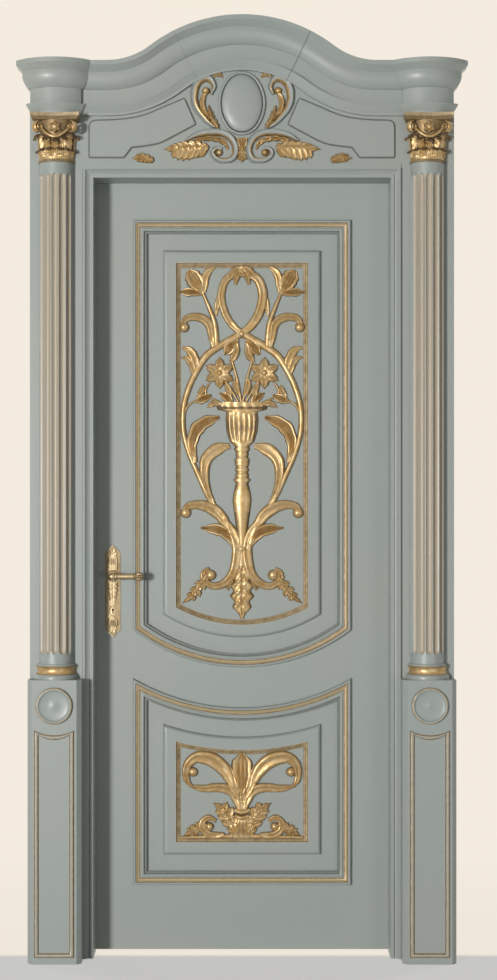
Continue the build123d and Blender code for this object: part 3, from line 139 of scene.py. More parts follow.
# %% Finish
class Finish(Graph):
    """One node material."""

    def __init__(self, name):
        self.material = bpy.data.materials.new(name)
        super().__init__(self.material)
        self.place = self.node("ShaderNodeTexCoord", {}, {}, "Object")

    def axis(self, name):
        """One Object coordinate, in metres."""
        return self.node("ShaderNodeSeparateXYZ", {}, {"Vector": self.place}, name)

    def mark(self, name):
        """A painted value that the piece's own mesh carries; 0 where it carries none."""
        return self.node("ShaderNodeAttribute", {"attribute_name": name}, {}, "Fac")

    def mix(self, factor, first, second):
        """A colour between two: first * (1 - factor) + second * factor."""
        return self.node("ShaderNodeMix", {"data_type": "RGBA"}, {0: factor, 6: first, 7: second}, 2)

    def stretched(self, scale):
        """Object coordinates squeezed by a factor along each axis."""
        return self.node("ShaderNodeMapping", {}, {"Vector": self.place, "Scale": scale})

    def noise(self, scale, detail=3.0, where=None):
        """Smooth noise from 0 to 1 with about scale waves in a metre."""
        sockets = {"Vector": where or self.place, "Scale": scale, "Detail": detail}
        return self.node("ShaderNodeTexNoise", {}, sockets)

    def bump(self, height, distance, strength=1.0):
        """A normal tilted by the slope of height, where 1 stands for a distance in metres."""
        sockets = {"Height": height, "Distance": distance, "Strength": strength}
        return self.node("ShaderNodeBump", {}, sockets)

    def surface(self, **sockets):
        """The Principled shader and the material's output."""
        named = {key.replace("_", " ").title(): value for key, value in sockets.items()}
        shader = self.node("ShaderNodeBsdfPrincipled", {}, named)
        self.node("ShaderNodeOutputMaterial", {}, {"Surface": shader})
        return self.material


print("a finish can", [name for name in vars(Finish) if not name.startswith("_")])

# %% [markdown]
# ## Lacquer and gilding
# The timber is sprayed grey-blue with a satin gloss. Gold leaf lies on the carving, and thin lines are
# drawn in a matt bronze paint, brown where patina and painted shade lie in the hollows. Two materials could
# meet at each line, but the painter's edge would look cut with a knife. One material with painted marks
# lets
# noise fray that edge: gilt is 1 for leaf and 0.68 for a drawn line, glaze is the tan tint in the flutes,
# hollow is painted shade in creases, grooves and at the feet of the relief, with patina on line and leaf.

# %% Lacquer and gilding
GREY_BLUE = (0.304, 0.346, 0.337, 1)
GREY_WARM = (0.328, 0.354, 0.336, 1)
# The lacquer's near-black grey where the hollow mark paints shade.
SHADE_GREY = (0.070, 0.077, 0.066, 1)
TAN = (0.40, 0.345, 0.265, 1)
LINE_GOLD = (0.50, 0.395, 0.240, 1)
LINE_BROWN = (0.175, 0.118, 0.052, 1)
LEAF_GOLD = (0.425, 0.278, 0.115, 1)
LEAF_PALE = (0.54, 0.415, 0.230, 1)
# The leaf's brown where the hollow mark is set: patina and painted shade.
PATINA_AND_SHADE = (0.105, 0.064, 0.028, 1)
MARKS = ("gilt", "glaze", "hollow")
DRAWN = 0.68
CLOUD_WAVES, GRAIN_WAVES, BRUSH_WAVES, RUB_WAVES = 2.6, 160.0, 38.0, 70.0
BRUSHED_UPRIGHT = (3.0, 3.0, 0.12)
SATIN = 0.42


def lacquer_finish(name, seam=None):
    """Paint, drawn line and gold leaf mixed by the marks: each mark plus a little noise, ramped to a mask.
    The hollow mark paints shade: near-black grey on the lacquer, brown patina and shade on line and leaf.
    seam(finish) may give one more mask by place, which darkens the paint."""
    finish = Finish(name)
    gilt, glaze, hollow = (finish.mark(key) for key in MARKS)
    cloud = finish.noise(CLOUD_WAVES, 4.0)
    fine = finish.noise(GRAIN_WAVES)
    brush = finish.noise(BRUSH_WAVES, 2.0, finish.stretched(BRUSHED_UPRIGHT))
    rub = finish.noise(RUB_WAVES, 4.0)
    gold = (gilt + (rub - 0.5) * 0.3).step(0.42, 0.58)
    leaf = gilt.step(0.76, 0.92)
    # Where the hollow mark is set, line and leaf turn brown: patina and painted shade.
    patina_and_shade = (hollow * 0.95 + (rub - 0.5) * 0.7).step(0.22, 0.95)
    tint = (glaze + (brush - 0.5) * 0.6).step(0.2, 0.9)
    # The hollow mark paints shade on the lacquer, a near-black grey; a seam adds dark joints.
    painted_shade_and_joints = (hollow + (rub - 0.5) * 0.2).step(0.2, 1.1)
    if seam:
        painted_shade_and_joints = painted_shade_and_joints.math("MAXIMUM", seam(finish))
    paint = finish.mix((cloud * 0.8 + brush * 0.3).step(0.3, 0.85), GREY_BLUE, GREY_WARM)
    paint = finish.mix(painted_shade_and_joints * 0.9, finish.mix(tint, paint, TAN), SHADE_GREY)
    drawn = finish.mix(patina_and_shade, LINE_GOLD, LINE_BROWN)
    laid = finish.mix(patina_and_shade, finish.mix(rub.step(0.35, 0.72), LEAF_GOLD, LEAF_PALE), PATINA_AND_SHADE)
    colour = finish.mix(gold, paint, finish.mix(leaf, drawn, laid))
    return finish.surface(
        base_color=colour,
        roughness=SATIN + (fine - 0.5) * 0.10 + gold * (patina_and_shade * 0.3 - leaf * 0.04),
        metallic=gold * (1 - patina_and_shade * 0.75) * (0.2 + leaf * 0.35),
        normal=finish.bump(brush * 0.25 + fine * 0.25 + leaf * rub * 1.2, 0.0004, 0.35),
        coat_weight=(1 - gold) * 0.10,
        coat_roughness=0.25,
    )


lacquer = lacquer_finish("lacquer_and_gilding")
print("made", lacquer.name, "with", len(lacquer.node_tree.nodes), "nodes")

# %% [markdown]
# ## Brass, steel and rubber
# The furniture is cast brass, rubbed bright on the crests, brown with patina and painted shade in the
# hollows. Hinges and lock are brushed steel, the rebate seal is matt rubber. Each is a few layers of noise
# at the scale of the real wear.

# %% Brass, steel and rubber
BRASS = ((0.47, 0.375, 0.235, 1), (0.33, 0.25, 0.145, 1), (0.12, 0.08, 0.04, 1))
STEEL = ((0.60, 0.60, 0.58, 1), (0.38, 0.38, 0.37, 1), (0.10, 0.10, 0.10, 1))
RUBBER, RUBBER_DUST = (0.20, 0.20, 0.19, 1), (0.27, 0.27, 0.26, 1)
WEAR_WAVES, LINE_WAVES, SKIN_WAVES, DUST_WAVES = 45.0, 300.0, 500.0, 12.0


def metal_finish(name, tones, grain, dullness):
    """Worn metal: bright and dull tones by cloudy noise, brush lines along grain, and a deep tone in
    hollows that is patina and painted shade.
    """
    finish = Finish(name)
    bright, dull, deep = tones
    hollow = finish.mark("hollow")
    cloud = finish.noise(WEAR_WAVES, 4.0)
    lines = finish.noise(LINE_WAVES, 2.0, finish.stretched(grain))
    colour = finish.mix((cloud * 0.7 + lines * 0.3).step(0.35, 0.75), bright, dull)
    # Where the hollow mark is set: patina and painted shade in the deep tone.
    sunk = (hollow + (cloud - 0.5) * 0.4).step(0.2, 0.9)
    return finish.surface(
        base_color=finish.mix(sunk, colour, deep),
        roughness=dullness + cloud * 0.16 + lines * 0.08 + sunk * 0.2,
        metallic=1 - sunk * 0.4,
        normal=finish.bump(lines + cloud, 0.0003, 0.25),
    )


def rubber_finish():
    """Matt rubber: two greys mixed by a broad noise, and a bump by a fine one for the moulded skin."""
    finish = Finish("seal_rubber_skin")
    skin = finish.noise(SKIN_WAVES)
    dust = finish.noise(DUST_WAVES)
    return finish.surface(
        base_color=finish.mix(dust, RUBBER, RUBBER_DUST),
        roughness=0.7 + (skin - 0.5) * 0.2,
        normal=finish.bump(skin, 0.0002, 0.5),
    )


brass = metal_finish("cast_brass", BRASS, (1, 1, 0.2), 0.38)
steel = metal_finish("brushed_steel", STEEL, (1, 1, 0.05), 0.24)
rubber = rubber_finish()
print("made", brass.name, steel.name, rubber.name)

# %% [markdown]
# ## Surfaces from rings
# Nearly every turned, moulded or carved form is a stack of closed rings: a profile carried round a loop, or
# a section carried along a stem. One helper joins a whole array of rings with four-sided faces, closes its
# ends and turns the faces outward by the sign of the volume. Sizes are millimetres until the mesh is made.

# %% Rings to parts
MM = 0.001


def stack(rings, wrap=False, **marks):
    """Rings (stations, points, 3) joined in order; wrap joins the last to the first, else both ends close.
    The signed volume of corner . (next x after) over all faces says whether they must turn round."""
    stations, points, _ = rings.shape
    index = np.arange(stations * points).reshape(stations, points)
    turn = np.roll(index, -1, axis=1)
    rows = slice(None) if wrap else slice(0, -1)
    ahead = np.roll(index, -1, axis=0)[rows]
    ahead_turn = np.roll(turn, -1, axis=0)[rows]
    quads = np.stack([index[rows], turn[rows], ahead_turn, ahead], axis=-1).reshape(-1, 4)
    ends = [] if wrap else [index[0][::-1], index[-1]]
    places = rings.reshape(-1, 3)
    a, b, c, d = (places[quads[:, k]] for k in range(4))
    volume = np.einsum("ij,ij->", a, np.cross(b, c)) + np.einsum("ij,ij->", a, np.cross(c, d))
    for end in ends:
        fan = places[end]
        volume += (np.cross(fan[1:-1], fan[2:]) @ fan[0]).sum()
    if volume < 0:
        quads = quads[:, ::-1]
        ends = [end[::-1] for end in ends]
    painted = {key: np.broadcast_to(value, (stations, points)).reshape(-1) for key, value in marks.items()}
    return places, quads, ends, painted


def flipped(part, factor, shift=(0, 0, 0)):
    """The part mirrored by a factor of -1 on one axis, then moved; its faces turn round."""
    places, quads, ends, painted = part
    return places * factor + shift, quads[:, ::-1], [end[::-1] for end in ends], painted


def mirrored(part):
    """The same part on the other side of the doorway's middle."""
    return flipped(part, np.array((-1, 1, 1)))


def both(parts):
    """Parts of the right or left half, and their mirror images."""
    return list(parts) + [mirrored(part) for part in parts]


two_squares = np.array([[(0, 0, z), (1, 0, z), (1, 1, z), (0, 1, z)] for z in (0, 5)], float)
bar_points, bar_sides, bar_ends, _ = stack(two_squares)
print("a test bar has", len(bar_points), "points,", len(bar_sides), "sides and", len(bar_ends), "ends")

# %% [markdown] A piece is one Blender object made of many such parts. Modifiers could join them, but a
# piece that is only a mesh exports as it is.

# %% Parts to objects
def piece(name, parts, body, finish, slot, *stands_for, sharp=40):
    """One object from several parts: mesh in metres, marks, body and the nodes it replaces; slot is not
    used.
    """
    starts = np.cumsum([0] + [len(part[0]) for part in parts])
    faces = []
    for part, start in zip(parts, starts):
        faces += (part[1] + start).tolist()
        faces += [(end + start).tolist() for end in part[2]]
    mesh = bpy.data.meshes.new(name)
    mesh.from_pydata((np.concatenate([part[0] for part in parts]) * MM).tolist(), [], faces)
    for key in MARKS:
        values = np.concatenate([part[3].get(key, np.zeros(len(part[0]))) for part in parts])
        if values.any():
            mesh.attributes.new(key, "FLOAT", "POINT").data.foreach_set("value", values.astype(np.float32))
    mesh.polygons.foreach_set("use_smooth", np.ones(len(mesh.polygons), bool))
    mesh.set_sharp_from_angle(angle=math.radians(sharp))
    mesh.materials.append(finish)
    made = bpy.data.objects.new(name, mesh)
    bpy.context.scene.collection.objects.link(made)
    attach(made, body)
    if stands_for:
        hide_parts(*stands_for)
    print(name, len(mesh.polygons), "faces")


print("a piece can carry the marks", MARKS)

# %% [markdown]
# ## Panel outlines
# Each panel has three straight edges and one that sags on an arc. Every moulding, bevel and line on the
# leaf runs parallel to that outline, so one function gives the outline moved in by any distance, always
# with the same number of points. A profile carried round it is then just a list of insets and depths.

# %% Panel outlines
LEAF_FRONT_Y, LEAF_MID_Y = 75.0, 97.5
PANEL_HALF, UPPER_TOP_Z, BOTTOM_Z = 298.0, 2000.0, 181.0
SAG_CENTRE_Z, SAG_R, LOWER_SAG_R = 1262.0, 486.0, 595.0
EDGE_STEPS, SAG_STEPS = 24, 48
REARWARD = np.array((1, -1, 1))


def behind(part):
    """The same part on the back of the leaf."""
    return flipped(part, REARWARD, np.array((0, 2 * LEAF_MID_Y, 0)))


def run(start, end, count):
    """Even steps from one point towards another, without the last: start * (1 - share) + end * share."""
    share = np.linspace(0, 1, count, endpoint=False)[:, None]
    return np.asarray(start) * (1 - share) + np.asarray(end) * share


def panel_loop(inset, upper):
    """(points, 2) in X and Z: sides and level edge moved in, arc radius changed by the same inset."""
    half = PANEL_HALF - inset
    radius = SAG_R - inset if upper else LOWER_SAG_R + inset
    level = UPPER_TOP_Z - inset if upper else BOTTOM_Z + inset
    x = np.linspace(half, -half, SAG_STEPS, endpoint=False)
    arc = np.stack([x, SAG_CENTRE_Z - np.sqrt(radius ** 2 - x ** 2)], axis=1)
    corner = SAG_CENTRE_Z - math.sqrt(radius ** 2 - half ** 2)
    return np.concatenate([
        run((-half, corner), (-half, level), EDGE_STEPS), run((-half, level), (half, level), EDGE_STEPS),
        run((half, level), (half, corner), EDGE_STEPS), arc,
    ])


def upper_loop(inset):
    """The upper panel's outline moved in by inset."""
    return panel_loop(inset, True)


def lower_loop(inset):
    """The lower panel's outline moved in by inset."""
    return panel_loop(inset, False)


def carried(loop, profile):
    """Rings for a profile of (inset, Y) carried round a loop: (loop points, profile points, 3)."""
    return np.stack([np.insert(loop(inset), 1, y, axis=1) for inset, y in profile], axis=1)


def arc_points(centre, radii, start, end, count):
    """Points of an ellipse arc, angles in degrees: centre + radii * (cos, sin)."""
    angle = np.radians(np.linspace(start, end, count))
    turns = zip(np.cos(angle), np.sin(angle))
    return [(centre[0] + radii[0] * cos, centre[1] + radii[1] * sin) for cos, sin in turns]


def columns(profile):
    """The first and the second numbers of a profile's points, as two arrays."""
    return np.array(profile).T


print("upper outline", len(upper_loop(0.0)), "points")

# %% [markdown]
# ## Bolection mouldings
# A planted moulding covers the joint between frame and panel: a rounded outer step, a quirk, a cove
# with a drawn gold line, and a bead. The profile is drawn once as insets and depths, and its marks by
# inset: the line's edges are painted brown shade, the plain lacquer a little painted shade, and the inner
# quirk and wall dark painted shade.

# %% Bolection mouldings
LINE_INSETS, FACE_Y = (8.0, 20.5), 72.0
moulding_profile = (
    [(0.0, 75.0), (0.0, 71.5)] + arc_points((4.6, 69.0), (4.2, 7.0), 180, 300, 9)
    + [(8.4, 65.2), (9.6, 65.6), (10.6, 64.6)] + arc_points((21.5, 63.4), (10.2, 6.6), 172, 92, 10)
    + arc_points((26.5, 70.4), (3.8, 3.6), 205, 335, 9)
    + [(31.4, 73.0), (32.4, 74.0), (37.0, 74.0), (37.0, 85.0), (15.0, 85.0), (15.0, 75.0)]
)
moulding_inset, moulding_depth = columns(moulding_profile)
in_line = (moulding_inset > LINE_INSETS[0]) & (moulding_inset < LINE_INSETS[1]) & (moulding_depth < FACE_Y)
line_shade = np.interp(moulding_inset, (8.0, 9.8, 10.6, 15.5, 17.5, 20.5), (0.9, 0.8, 0.0, 0.0, 0.8, 0.9))
plain_shade = np.interp(moulding_inset, (6.9, 7.0, 31.0, 31.1), (0.0, 0.25, 0.25, 0.75))
moulding_marks = {
    "gilt": np.where(in_line, DRAWN, 0.0),
    "hollow": np.where(in_line, line_shade, plain_shade),
}
for name, loop in (("upper_moulding", upper_loop), ("lower_moulding", lower_loop)):
    ring = stack(carried(loop, moulding_profile), True, **moulding_marks)
    piece(name + "_run", [ring], "leaf", lacquer, "lacquered_wood", name)
    piece(name + "_rear_run", [behind(ring)], "leaf", lacquer, "lacquered_wood", name + "_rear")

# %% [markdown]
# ## Raised panels
# Inside the moulding the panel has a raised field with a rounded bevel, and the field is cut back round the
# carving, with a drawn gold cove as the edge. Rings of the outline step in from the groove to the recess.

# %% Raised panels
PANEL_FRONT_Y, PANEL_BACK_Y, FIELD_RISE = 85.0, 110.0, 13.0
FIELD_FRONT_Y, FIELD_BACK_Y = PANEL_FRONT_Y - FIELD_RISE, PANEL_BACK_Y + FIELD_RISE
BEVEL_INSET, RECESS_INSET = 81.0, 123.0


def bevel(ground_y, field_y, end_angle):
    """The panel's groove and the quarter ellipse that lifts its field: centre + radii * (cos, sin)."""
    groove = [(15.0, ground_y), (80.0, ground_y), (BEVEL_INSET, ground_y)]
    return groove + arc_points((92.0, ground_y), (10.5, FIELD_RISE), 180, end_angle, 9) + [(93.0, field_y)]


panel_front = (
    bevel(PANEL_FRONT_Y, FIELD_FRONT_Y, 270) + [(116.0, FIELD_FRONT_Y), (117.0, FIELD_FRONT_Y)]
    + arc_points((RECESS_INSET, FIELD_FRONT_Y), (5.6, 8.0), 180, 95, 6)
    + [(RECESS_INSET, 81.0), (RECESS_INSET, 89.0)]
)
panel_back = bevel(PANEL_BACK_Y, FIELD_BACK_Y, 90)
for name, loop, middle_inset in (("upper_panel", upper_loop, 240.0), ("lower_panel", lower_loop, 150.0)):
    profile = [(middle_inset, FIELD_BACK_Y)] + panel_back[::-1] + panel_front
    inset, depth = columns(profile)
    edge = (depth < 82) & (inset > 116.5)
    in_quirk = np.abs(inset - BEVEL_INSET) < 1
    in_recess = (inset > 117.2) & (depth < 100)
    shade = np.where(in_quirk, 0.4, 0.0) + np.where(in_recess, 0.55, 0.0)
    rings = carried(loop, profile).transpose(1, 0, 2)
    field = stack(rings, gilt=np.where(edge, DRAWN, 0.0)[:, None], hollow=shade[:, None])
    piece(name + "_field", [field], "leaf", lacquer, "lacquered_wood", name)

# %% [markdown]
# ## Half-columns
# A turner would cut the flutes with a round-nosed tool that lifts out near each end. In numbers the shaft
# is a radius over angle and height: the smaller of the shaft's own radius and the ray's distance to the
# flute's circle, whose radius shrinks to nothing at the ends. The fluted length is glazed tan, most in the
# flutes.

# %% Half-columns
COLUMN_X, BOARD_FRONT_Y = 498.5, -18.0
BASE_TOP_Z, CAPITAL_FOOT_Z = 795.0, 2134.0
SHAFT_R, FLUTES, FLUTE_R, FLUTE_D = 46.0, 7, 9.5, 6.0
PLAIN_FOOT, PLAIN_HEAD, FLUTE_POINTS = 24.0, 28.0, 20


def half_rings(radius, heights, angle):
    """Half-round rings on the back board, closed by a flat back: x = r cos a, y = board - r sin a."""
    x = radius * np.cos(angle)
    y = BOARD_FRONT_Y - radius * np.sin(angle)
    return np.stack([COLUMN_X + x, y, np.broadcast_to(heights[:, None], x.shape)], axis=-1)


def shaft():
    """r = min(R, reach cos a - sqrt(f^2 - (reach sin a)^2)), a from the nearest flute's middle."""
    low, high = BASE_TOP_Z + PLAIN_FOOT, CAPITAL_FOOT_Z - PLAIN_HEAD
    lift = FLUTE_R * 1.6
    ease = lift * (1 - np.cos(np.linspace(0, np.pi / 2, 9)))
    z = np.concatenate([[BASE_TOP_Z, low - 6], low + ease, np.linspace(low + 40, high - 40, 12),
                        (high - ease)[::-1], [high + 6, CAPITAL_FOOT_Z]])
    angle = np.linspace(0, np.pi, FLUTES * FLUTE_POINTS + 1)
    pitch = np.pi / FLUTES
    from_middle = (angle % pitch) - pitch / 2
    end = np.clip(np.minimum(z - low, high - z) / lift, 0, 1)
    groove = FLUTE_R * np.sqrt(1 - (1 - end) ** 2)
    reach = SHAFT_R - FLUTE_D + FLUTE_R
    inside = np.maximum(groove[:, None] ** 2 - (reach * np.sin(from_middle)) ** 2, 0)
    cut = reach * np.cos(from_middle) - np.sqrt(inside)
    radius = np.where(inside > 0, np.minimum(cut, SHAFT_R), SHAFT_R)
    depth = (SHAFT_R - radius) / FLUTE_D
    front = np.clip(np.sin(angle) * 4 - 1.0, 0, 1)
    glaze = (0.5 + 0.35 * np.clip(depth * 3, 0, 1)) * front * np.clip(end * 3, 0, 1)[:, None]
    # Painted shade in the deepest part of each flute.
    hollow = np.clip(depth - 0.5, 0, 1) * 0.5
    return stack(half_rings(radius, z, angle[None, :]), glaze=glaze, hollow=hollow)


right_shaft = shaft()
for side, part in (("right", right_shaft), ("left", mirrored(right_shaft))):
    piece("fluted_shaft_" + side, [part], "frame", lacquer, "lacquered_wood", "column_shaft_" + side,
          sharp=30)

# %% [markdown]
# ## Turned bases and rosettes
# Both come from the lathe: a profile of radius and height spun round an axis, which is also how Blender's
# Spin works; whole arrays do the same and keep the marks. The base is half-round and has one gilded hollow,
# the rosette lies on the pedestal with a thin drawn rim and a shallow dish.

# %% Turned bases
GILT_LEVELS = (766.5, 789.5)
base_profile = (
    [(58.0, 754.0), (58.0, 758.0)] + arc_points((54.5, 758.0), (3.5, 8.0), 0, 80, 6)
    + [(54.0, 767.0)] + arc_points((56.0, 778.0), (6.0, 10.6), 250, 110, 13)
    + [(54.0, 789.0), (53.5, 790.0)] + arc_points((49.5, 791.5), (2.2, 3.0), -30, 80, 6) + [(49.5, 795.0)]
)
base_radius, base_level = columns(base_profile)
base_angle = np.linspace(0, np.pi, 61)[None, :]
base_gilt = np.where((base_level > GILT_LEVELS[0]) & (base_level < GILT_LEVELS[1]), 1.0, 0.0)
base_shade = np.interp(base_level, (765.0, 767.0, 770.0, 786.0, 789.0, 791.0),
                       (0.0, 0.8, 0.15, 0.2, 0.7, 0.0))
right_base = stack(half_rings(base_radius[:, None] * np.ones_like(base_angle), base_level, base_angle),
                   gilt=base_gilt[:, None], hollow=base_shade[:, None])
piece("turned_bases", both([right_base]), "frame", lacquer, "lacquered_wood", "column_bases")

# %% Dished rosettes
PEDESTAL_FRONT_Y, ROSETTE_Z = -84.0, 686.0


def spun(profile, centre, sides=64, **marks):
    """A profile of (radius, out) spun round an axis to the viewer: centre + (r cos a, -out, r sin a)."""
    angle = np.linspace(0, 2 * np.pi, sides, endpoint=False)
    radius, out = (values[:, None] * np.ones_like(angle) for values in columns(profile))
    rings = np.stack([radius * np.cos(angle), -out, radius * np.sin(angle)], axis=-1)
    painted = {key: np.asarray(value)[:, None] for key, value in marks.items()}
    return stack(rings + np.asarray(centre, float), **painted)


rosette_profile = (
    [(49.0, 0.0), (49.0, 2.5)] + arc_points((45.0, 3.5), (4.0, 5.5), 0, 90, 7)
    + arc_points((43.0, 6.5), (2.4, 2.2), 60, 180, 5) + [(39.5, 5.6), (35.0, 4.6), (28.0, 3.7), (20.0, 3.2)]
    + [(12.0, 3.4), (8.0, 4.2), (4.0, 4.8), (0.6, 5.0)]
)
rosette_r, _ = columns(rosette_profile)
on_rim = (rosette_r > 44.5) & (rosette_r < 48.0)
at_foot = rosette_r > 48.5
in_dish_edge = np.abs(rosette_r - 40) < 1
# Painted shade: dark at the rosette's foot on the pedestal, on the rim and at the dish's edge.
rosette = spun(rosette_profile, (COLUMN_X, PEDESTAL_FRONT_Y, ROSETTE_Z), gilt=np.where(on_rim, DRAWN, 0.0),
               hollow=np.select([at_foot, rosette_r > 44.5, in_dish_edge], [0.8, 0.5, 0.35]))
piece("dished_rosettes", both([rosette]), "frame", lacquer, "lacquered_wood", "pedestal_rosettes")

# %% [markdown]
# ## Frames on the pedestals
# A lacquered half-round between two drawn bronze lines frames each pedestal panel. A bevelled curve could
# follow the outline, but would round its corners. Here the top edge dips in the middle, so the loop is
# three straight runs and one arc, and the half-round profile is carried round it.

# %% Frames on the pedestals
FRAME_HALF_W, FRAME_FOOT_Z, FRAME_TOP_Z, FRAME_DIP = 53.0, 18.0, 621.0, 13.0
ASTRAGAL_MIDDLE, CREST_HALF = 6.0, 1.5


def dipped_loop(inset):
    """Points (X, Z): an upright field moved in by inset; its top edge is an arc through both corners, of
    radius (half^2 + dip^2) / (2 dip)."""
    half, foot, top = FRAME_HALF_W - inset, FRAME_FOOT_Z + inset, FRAME_TOP_Z - inset
    radius = (half ** 2 + FRAME_DIP ** 2) / (2 * FRAME_DIP)
    x = np.linspace(-half, half, 24, endpoint=False)
    arc = np.stack([COLUMN_X + x, top - FRAME_DIP + radius - np.sqrt(radius ** 2 - x ** 2)], axis=1)
    left, right = COLUMN_X - half, COLUMN_X + half
    return np.concatenate([run((right, top), (right, foot), 20), run((right, foot), (left, foot), 6),
                           run((left, foot), (left, top), 20), arc])


astragal = (
    [(0.0, PEDESTAL_FRONT_Y), (0.0, PEDESTAL_FRONT_Y - 1.2)]
    + arc_points((ASTRAGAL_MIDDLE, PEDESTAL_FRONT_Y - 1.2), (5.4, 3.8), 180, 360, 15)
    + [(2 * ASTRAGAL_MIDDLE, PEDESTAL_FRONT_Y - 1.2), (2 * ASTRAGAL_MIDDLE, PEDESTAL_FRONT_Y)]
)
from_crest = np.abs(columns(astragal)[0] - ASTRAGAL_MIDDLE)
# Painted shade: the half-round darkens from its crest to its feet, turning the drawn lines brown.
pedestal_frame = stack(
    carried(dipped_loop, astragal), True, gilt=np.where(from_crest > CREST_HALF, DRAWN, 0.0),
    hollow=np.interp(from_crest, (0.0, CREST_HALF, 2.5, 4.5, ASTRAGAL_MIDDLE), (0.0, 0.1, 0.45, 0.85, 1.0)),
)
piece("pedestal_astragals", both([pedestal_frame]), "frame", lacquer, "gilded_wood",
      "pedestal_panel_frames")

# %% [markdown]
# ## Boss on the frieze
# An oval dome in a ring, over the middle of the doorway. The oval is four arcs; the ring is a half-round
# carried round it and the dome is the oval shrunk step by step while it rises.

# %% Boss on the frieze
BOSS_Z, OVAL_HALF_W, OVAL_HALF_H, OVAL_END_R = 2298.5, 55.0, 77.0, 44.0
DOME_SHARES = np.array([1.0, 1.0, 0.985, 0.95, 0.88, 0.78, 0.66, 0.5, 0.34, 0.18, 0.03])
DOME_RISE = np.array([0.0, 6.0, 8.4, 10.6, 12.7, 14.4, 15.6, 16.5, 16.85, 16.98, 17.0])


def oval_loop(inset, count=24):
    """Four arcs that meet smoothly, moved in by inset: two small ends, and two flatter sides whose radius
    is (w^2 + rise^2 - end^2) / (2 (w - end))."""
    half_w, half_h, end_r = OVAL_HALF_W - inset, OVAL_HALF_H - inset, OVAL_END_R - inset
    rise = half_h - end_r
    side_r = (half_w ** 2 + rise ** 2 - end_r ** 2) / (2 * (half_w - end_r))
    lean = math.atan2(rise, side_r - half_w)
    side = np.linspace(-lean, lean, count, endpoint=False)
    tip = np.linspace(lean, np.pi - lean, count, endpoint=False)
    right = np.stack([half_w - side_r + side_r * np.cos(side), side_r * np.sin(side)], axis=1)
    top = np.stack([end_r * np.cos(tip), rise + end_r * np.sin(tip)], axis=1)
    return np.concatenate([right, top, -right, -top]) + np.array((0.0, BOSS_Z))


ring_profile = ([(-9.0, -18.0), (-9.0, -20.0)] + arc_points((-4.8, -20.5), (4.1, 6.3), 180, 350, 13)
                + [(-0.2, -20.0), (0.0, -18.0)])
ring_inset, _ = columns(ring_profile)
# Painted shade at both feet of the ring.
boss_ring = stack(carried(oval_loop, ring_profile), True,
                  hollow=np.interp(ring_inset, (-9.0, -8.0, -1.6, -0.6), (0.9, 0.0, 0.0, 1.0)))
piece("boss_moulding", [boss_ring], "frame", lacquer, "lacquered_wood", "boss_ring")
boss_middle = np.array((0.0, BOSS_Z))
oval_rings = boss_middle + (oval_loop(0.0) - boss_middle) * DOME_SHARES[:, None, None]
dome = np.insert(oval_rings, 1, (BOARD_FRONT_Y - DOME_RISE)[:, None], axis=2)
dome_shade = np.select([DOME_SHARES > 0.99, DOME_SHARES > 0.98], [1.0, 0.3])
dome_part = stack(dome, hollow=dome_shade[:, None])
piece("boss_dome", [dome_part], "frame", lacquer, "lacquered_wood", "oval_boss")

# %% [markdown]
# ## Carver's strokes
# Stems, leaves and petals are all one stroke: a section carried along a smooth spine that lies on the
# ground. The section's height is a function of t along the spine and v across it, so a round stem, a
# scooped hook, a leaf with slanting ribs or a band with raised edges differ only in that function.
# Sculpting by hand would look livelier, but could not be repeated or changed.

# %% Smooth spines and widths
SPAN_STEPS = 24


def smooth(points, count):
    """Catmull-Rom curve: each span a cubic of its four neighbouring points, sampled evenly by length."""
    p = np.asarray(points, float)
    p = np.vstack([2 * p[0] - p[1], p, 2 * p[-1] - p[-2]])
    spans = len(p) - 3
    u = np.linspace(0, spans, spans * SPAN_STEPS + 1)
    i = np.minimum(u.astype(int), spans - 1)
    f = (u - i)[:, None]
    a, b, c, d = p[i], p[i + 1], p[i + 2], p[i + 3]
    fine = 0.5 * (2 * b + (c - a) * f + (2 * a - 5 * b + 4 * c - d) * f ** 2
                  + (3 * b - a - 3 * c + d) * f ** 3)
    length = np.concatenate([[0], np.cumsum(np.linalg.norm(np.diff(fine, axis=0), axis=1))])
    at = np.linspace(0, length[-1], count)
    return np.stack([np.interp(at, length, fine[:, k]) for k in range(p.shape[1])], axis=1)


def swell(count, *values):
    """A width that passes through evenly spaced values, eased by a cosine between each two."""
    t = np.linspace(0, len(values) - 1, count)
    i = np.minimum(t.astype(int), len(values) - 2)
    ease = (1 - np.cos(np.pi * (t - i))) / 2
    value = np.asarray(values, float)
    return value[i] * (1 - ease) + value[i + 1] * ease


def unit(vectors):
    """Vectors divided by their own length."""
    return vectors / np.maximum(np.linalg.norm(vectors, axis=-1, keepdims=True), 1e-9)


print("a swell through 0, 1, 0 in five steps:", swell(5, 0, 1, 0).round(2))

# %% Sections of a stroke
# Each section gives a height and a dark value; the dark value is painted shade for the hollow mark.
def round_stem(t, v):
    """Half-round: height sqrt(1 - v^2), painted shade only at the foot."""
    return np.sqrt(np.maximum(1 - v ** 2, 0)) + 0 * t, np.abs(v) ** 5 + 0 * t


def scooped(t, v):
    """A fat hook: a dome (1 - v^4)^0.6 less a long shallow hollow exp(-(v / 0.38)^2) down its middle;
    painted shade at its edges and in the hollow.
    """
    hollow = np.exp(-(v / 0.38) ** 2) * np.minimum(1, 4 * t)
    dark = np.clip(0.8 * np.abs(v) ** 6 + 0.5 * hollow ** 2, 0, 1)
    return (1 - v ** 4) ** 0.6 * (1 - 0.42 * hollow), dark


